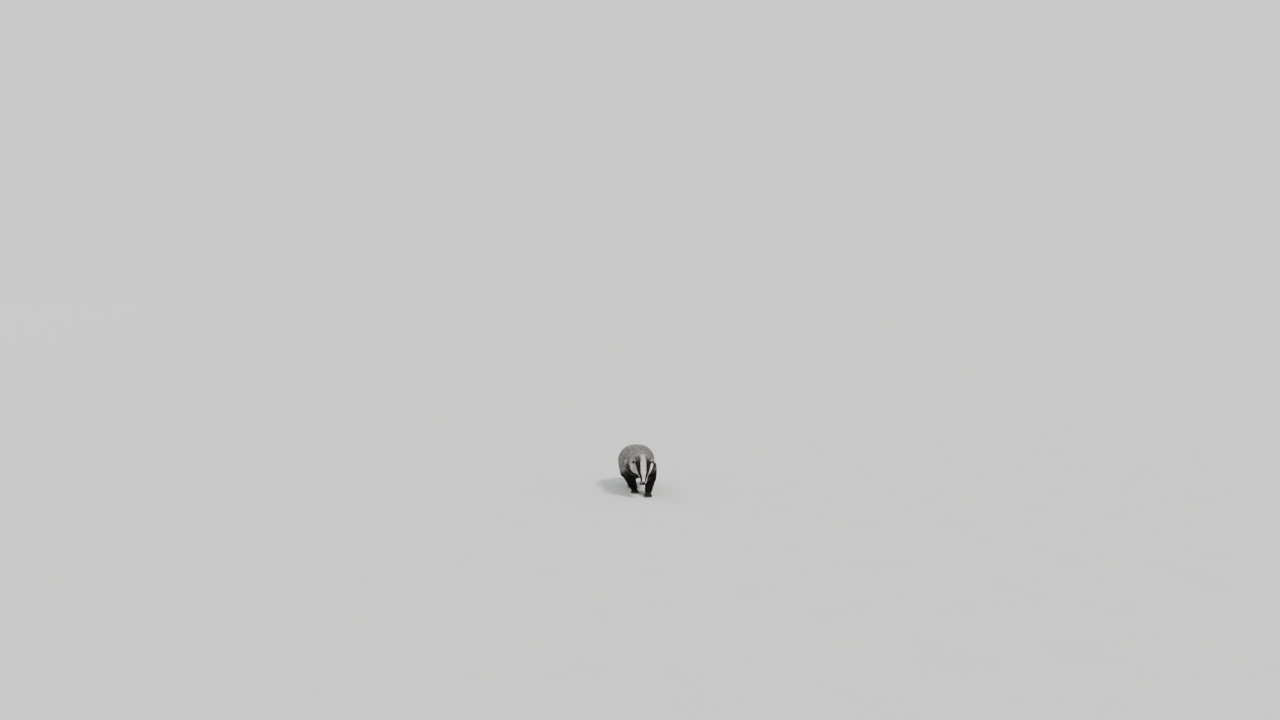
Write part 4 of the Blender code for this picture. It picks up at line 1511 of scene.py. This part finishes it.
def ball_points(segments, rings):
    """Directions and faces of a sphere, ring upon ring from below."""
    slopes = np.linspace(-math.pi / 2, math.pi / 2, rings + 1)[1:-1, None]
    turns = np.linspace(0.0, 2 * math.pi, segments, endpoint=False)
    grid = np.stack(np.broadcast_arrays(
        np.cos(slopes) * np.cos(turns), np.cos(slopes) * np.sin(turns), np.sin(slopes)), axis=-1)
    points = np.vstack([grid.reshape(-1, 3), (0.0, 0.0, -1.0), (0.0, 0.0, 1.0)])
    return points, ringed_faces(rings - 1, segments)


def eye_finish():
    material, tree, shader = new_material("dark_wet_eye")
    iris = ramp(tree, attribute(tree, "look", "Fac"), EYE_RINGS)
    streaks = clouded(tree, 1500.0, (0.6,) * 3, (1.0,) * 3)
    feed(tree, shader, {
        "Base Color": mixed(tree, 1.0, iris, streaks, "MULTIPLY"),
        "Roughness": uneven(tree, 700.0, 0.10, 0.06),
        "Specular IOR Level": 0.06,
        "Coat Weight": 0.16,
        "Coat Roughness": 0.03,
    })
    return material


def make_eye(side, finish):
    directions, faces = ball_points(BALL_SEGMENTS, BALL_RINGS)
    facing = directions @ eye_axes(side)[2]
    swelling = CORNEA_SWELLING * (np.maximum(facing, 0.0) ** 6 - 0.5)
    points = EYE_CENTRES[side] + directions * (EYE_RADIUS * BALL_SHARE + swelling)[:, None]
    ball = mesh_piece(f"eyeball_{side}", points, faces, finish)
    set_values(ball, "look", np.clip(facing, 0.0, 1.0))
    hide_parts(f"eye_{side}")


EYE_FINISH = eye_finish()
for side in ("left", "right"):
    make_eye(side, EYE_FINISH)
print("eyes of radius", round(EYE_RADIUS, 4))

# %% [markdown]
# The nose is a bare black pad, broad and wet, with two comma shaped nostrils and a split below.
# It starts as a sphere in the head's directions. Each nostril is a pit pushed in with a soft edge,
# with a smaller pit beside it for the comma's tail, and a fine noise bump gives the pebbled skin.

# %% Nose
NOSE_RADII = (0.0098, 0.0122, 0.0092)
NOSTRILS = (((-0.82, 0.50, -0.02), 0.27, 0.0062), ((-0.50, 0.82, -0.28), 0.17, 0.0038))
NOSTRIL_RIM = 0.0006
NOSE_SQUARENESS = 0.84
NOSE_SEGMENTS = 96
NOSE_RINGS = 64
SPLIT_WIDTH = 0.07
SPLIT_DEPTH = 0.0014


def nose_finish():
    material, tree, shader = new_material("wet_nose_leather")
    pebbles = sums(tree, "SUBTRACT", 1.0, cells(tree, 1500.0))
    feed(tree, shader, {
        "Base Color": clouded(tree, 350.0, (0.004, 0.0035, 0.0035), (0.011, 0.0095, 0.009)),
        "Normal": bumped(tree, pebbles, 0.70, 0.0004),
        "Roughness": uneven(tree, 500.0, 0.30, 0.22),
        "Specular IOR Level": 0.12,
        "Coat Weight": 0.10,
        "Coat Roughness": 0.22,
    })
    return material


def make_nose():
    directions, faces = ball_points(NOSE_SEGMENTS, NOSE_RINGS)
    places = np.sign(directions) * np.abs(directions) ** NOSE_SQUARENESS * NOSE_RADII
    inward = np.zeros(len(places))
    for side in (1.0, -1.0):
        for (back, aside, up), radius, depth in NOSTRILS:
            gap = np.linalg.norm(directions - unit(np.array((back, aside * side, up))), axis=1)
            inward += depth * np.exp(-(gap / radius) ** 4)
            inward -= NOSTRIL_RIM * np.exp(-((gap - 1.35 * radius) / (0.3 * radius)) ** 2)
    front_below = ease(0.25, -0.15, directions[:, 2]) * ease(0.0, -0.4, directions[:, 0])
    inward += SPLIT_DEPTH * np.exp(-(directions[:, 1] / SPLIT_WIDTH) ** 2) * front_below
    places = places - directions * inward[:, None]
    nose = mesh_piece("nose_pad", NOSE_CENTRE + places @ HEAD_AXES, faces, nose_finish())
    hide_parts("nose")


make_nose()
print("nose pad", [round(2 * radius, 4) for radius in NOSE_RADII])

# %% [markdown]
# A tapering tube serves claws and whiskers alike: rings of corners square to a path, each with its
# own radius, closed at both ends. The path decides whether it curls like a claw or sweeps like hair.

# %% A tapering tube


def tube(path, radii, sides, up, flat=1.0):
    """Corners and faces of a tube along a path, narrower across than it is deep by flat."""
    path = np.asarray(path)
    tangents = unit(np.gradient(path, axis=0))
    across = unit(np.cross(np.broadcast_to(up, path.shape), tangents))
    ridge = np.cross(tangents, across)
    turns = np.linspace(0.0, 2 * math.pi, sides, endpoint=False)
    ring = across[:, None] * np.cos(turns)[:, None] * flat + ridge[:, None] * np.sin(turns)[:, None]
    points = (path[:, None] + ring * np.asarray(radii)[:, None, None]).reshape(-1, 3)
    return np.vstack([points, path[0], path[-1]]), ringed_faces(len(path), sides)


def stacked(parts):
    """Several tubes or balls as one list of corners and one of faces."""
    points = []
    faces = []
    start = 0
    for some_points, some_faces in parts:
        points.append(some_points)
        faces.append(some_faces + start)
        start += len(some_points)
    return np.vstack(points), np.vstack(faces)


# %% [markdown]
# Claws. The badger digs with five long claws on each forefoot, and walks on shorter ones behind.
# A claw leaves the toe nearly level, curves down and ends blunt, just clear of the floor.
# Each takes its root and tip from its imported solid, so that it lies exactly where the solid does.

# %% Claws
CLAW_SWEEP = 1.30
CLAW_ROOT_RADIUS = 0.0032
CLAW_TIP_RADIUS = 0.0010
CLAW_FLATNESS = 0.78
CLAW_STEPS = 14
CLAW_SIDES = 14
CLAW_EMBED = 0.005
HORN_SHADES = ((0.0, (0.030, 0.022, 0.016)), (0.45, (0.10, 0.072, 0.048)), (1.0, (0.30, 0.24, 0.17)))


def claw_finish():
    material, tree, shader = new_material("worn_horn")
    shade = ramp(tree, attribute(tree, "along", "Fac"), HORN_SHADES)
    grain = clouded(tree, 600.0, (0.72,) * 3, (1.0,) * 3)
    feed(tree, shader, {
        "Base Color": mixed(tree, 1.0, shade, grain, "MULTIPLY"),
        "Normal": bumped(tree, noise(tree, 1100.0), 0.3, 0.0002),
        "Roughness": uneven(tree, 400.0, 0.34, 0.25),
    })
    return material


def claw_path(root, tip):
    """Quarter turn from the toe forward and down."""
    level = np.array((tip[0] - root[0], tip[1] - root[1], 0.0))
    shares = np.linspace(0.0, 1.0, CLAW_STEPS)
    ahead = np.sin(shares * CLAW_SWEEP) / math.sin(CLAW_SWEEP)
    fall = (1.0 - np.cos(shares * CLAW_SWEEP)) / (1.0 - math.cos(CLAW_SWEEP))
    path = root + level * ahead[:, None] + np.array((0.0, 0.0, tip[2] - root[2])) * fall[:, None]
    embedded = root - unit(level) * CLAW_EMBED
    return np.vstack([embedded, path]), np.append(0.0, shares)


def make_claw(name, finish):
    root, tip = claw_ends(name)
    path, shares = claw_path(root, tip)
    radii = CLAW_ROOT_RADIUS + (CLAW_TIP_RADIUS - CLAW_ROOT_RADIUS) * shares**1.25
    points, faces = tube(path, radii, CLAW_SIDES, (0.0, 0.0, 1.0), CLAW_FLATNESS)
    claw = mesh_piece(name.replace("claw", "horn"), points, faces, finish)
    set_values(claw, "along", np.append(np.repeat(shares, CLAW_SIDES), (0.0, 1.0)))
    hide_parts(name)


CLAW_FINISH = claw_finish()
CLAWS = [name for name in sorted(nodes) if name.startswith("claw")]
for name in CLAWS:
    make_claw(name, CLAW_FINISH)
print("claws:", len(CLAWS))

# %% [markdown]
# Pads. The soles are bare: one broad pad and a small one under each toe, of black grained leather.
# They carry the weight, so they reach exactly down to the floor while the skin ends above it.

# %% Pads
TOE_PAD_RADII = (0.0048, 0.0080, 0.0042)
TOE_PAD_BACK = 0.010
TOE_PAD_SPREAD = 0.84
PALM_RADII = {"fore": (0.0200, 0.0130, 0.0058), "hind": (0.0160, 0.0200, 0.0058)}
PALM_BACK = {"fore": 0.034, "hind": 0.040}
PAD_FLATNESS = 0.92
PAD_SEGMENTS = 20
PAD_RINGS = 12


def pad_finish():
    material, tree, shader = new_material("sole_leather")
    grain = sums(tree, "SUBTRACT", 1.0, cells(tree, 700.0))
    feed(tree, shader, {
        "Base Color": clouded(tree, 200.0, (0.016, 0.014, 0.013), (0.045, 0.038, 0.034)),
        "Normal": bumped(tree, grain, 0.5, 0.0005),
        "Roughness": uneven(tree, 90.0, 0.62, 0.25),
    })
    return material


def pad_ball(centre, radii, ahead):
    """A flattened ball whose long side points ahead and whose underside rests on the floor."""
    directions, faces = ball_points(PAD_SEGMENTS, PAD_RINGS)
    across = np.cross(ahead, (0.0, 0.0, 1.0))
    axes = np.array((across, ahead, (0.0, 0.0, 1.0)))
    height = radii[2] * PAD_FLATNESS
    places = directions * radii
    places[:, 2] = np.maximum(places[:, 2], -height)
    return np.array((centre[0], centre[1], height)) + places @ axes, faces


def make_pads(foot, finish):
    kind, side = foot
    roots, ahead = foot_claws(kind, side)
    middle_root = roots[2]
    pads = [pad_ball(middle_root - ahead * PALM_BACK[kind], PALM_RADII[kind], ahead)]
    for root in roots:
        centre = middle_root + (root - middle_root) * TOE_PAD_SPREAD - ahead * TOE_PAD_BACK
        pads.append(pad_ball(centre, TOE_PAD_RADII, ahead))
    points, faces = stacked(pads)
    mesh_piece(f"pads_{kind}_{side}", points, faces, finish)


PAD_FINISH = pad_finish()
for foot in FEET:
    make_pads(foot, PAD_FINISH)
print("pads under", len(FEET), "feet")

# %% [markdown]
# Whiskers are few, stiff and dark at the root. They grow in rows on the side of the muzzle and sweep
# out and back. Each is a very thin tube that bends a little under its own weight.

# %% Whiskers
WHISKERS_A_SIDE = 9
WHISKER_RADIUS = 0.00022
WHISKER_STEPS = 9
WHISKER_SIDES = 5
WHISKER_LENGTH = (0.022, 0.044)
WHISKER_BEND = 0.35
WHISKER_SAG = 0.10
ROOT_BACK = (0.014, 0.036)
ROOT_UP = (-0.008, 0.004)
SWEEP_BACK = (0.25, 0.85)
SWEEP_UP = (-0.45, 0.15)


def whisker_finish():
    material, tree, shader = new_material("whisker_hair")
    feed(tree, shader, {
        "Base Color": clouded(tree, 60.0, (0.05, 0.045, 0.04), (0.34, 0.32, 0.29), 0.35, 0.65),
        "Roughness": uneven(tree, 200.0, 0.35, 0.15),
    })
    return material


def whisker(side, rng):
    back = rng.uniform(*ROOT_BACK)
    root = on_skin(from_head((back, 0.020 * side, rng.uniform(*ROOT_UP))))
    length = rng.uniform(*WHISKER_LENGTH)
    out = head_direction(rng.uniform(*SWEEP_BACK), side, rng.uniform(*SWEEP_UP))
    bend = head_direction(1.0, 0.0, -0.2)
    shares = np.linspace(-0.04, 1.0, WHISKER_STEPS)
    path = root + out * (shares * length)[:, None] + bend * (WHISKER_BEND * length * shares**2)[:, None]
    path[:, 2] -= WHISKER_SAG * length * shares**2
    radii = WHISKER_RADIUS * np.clip(1.05 - shares, 0.12, 1.0)
    return tube(path, radii, WHISKER_SIDES, (0.0, 0.0, 1.0))


def make_whiskers():
    rng = np.random.default_rng(41)
    parts = [whisker(side, rng) for side in (1.0, -1.0) for _ in range(WHISKERS_A_SIDE)]
    points, faces = stacked(parts)
    mesh_piece("whiskers", points, faces, whisker_finish())


make_whiskers()
print("whiskers:", 2 * WHISKERS_A_SIDE)
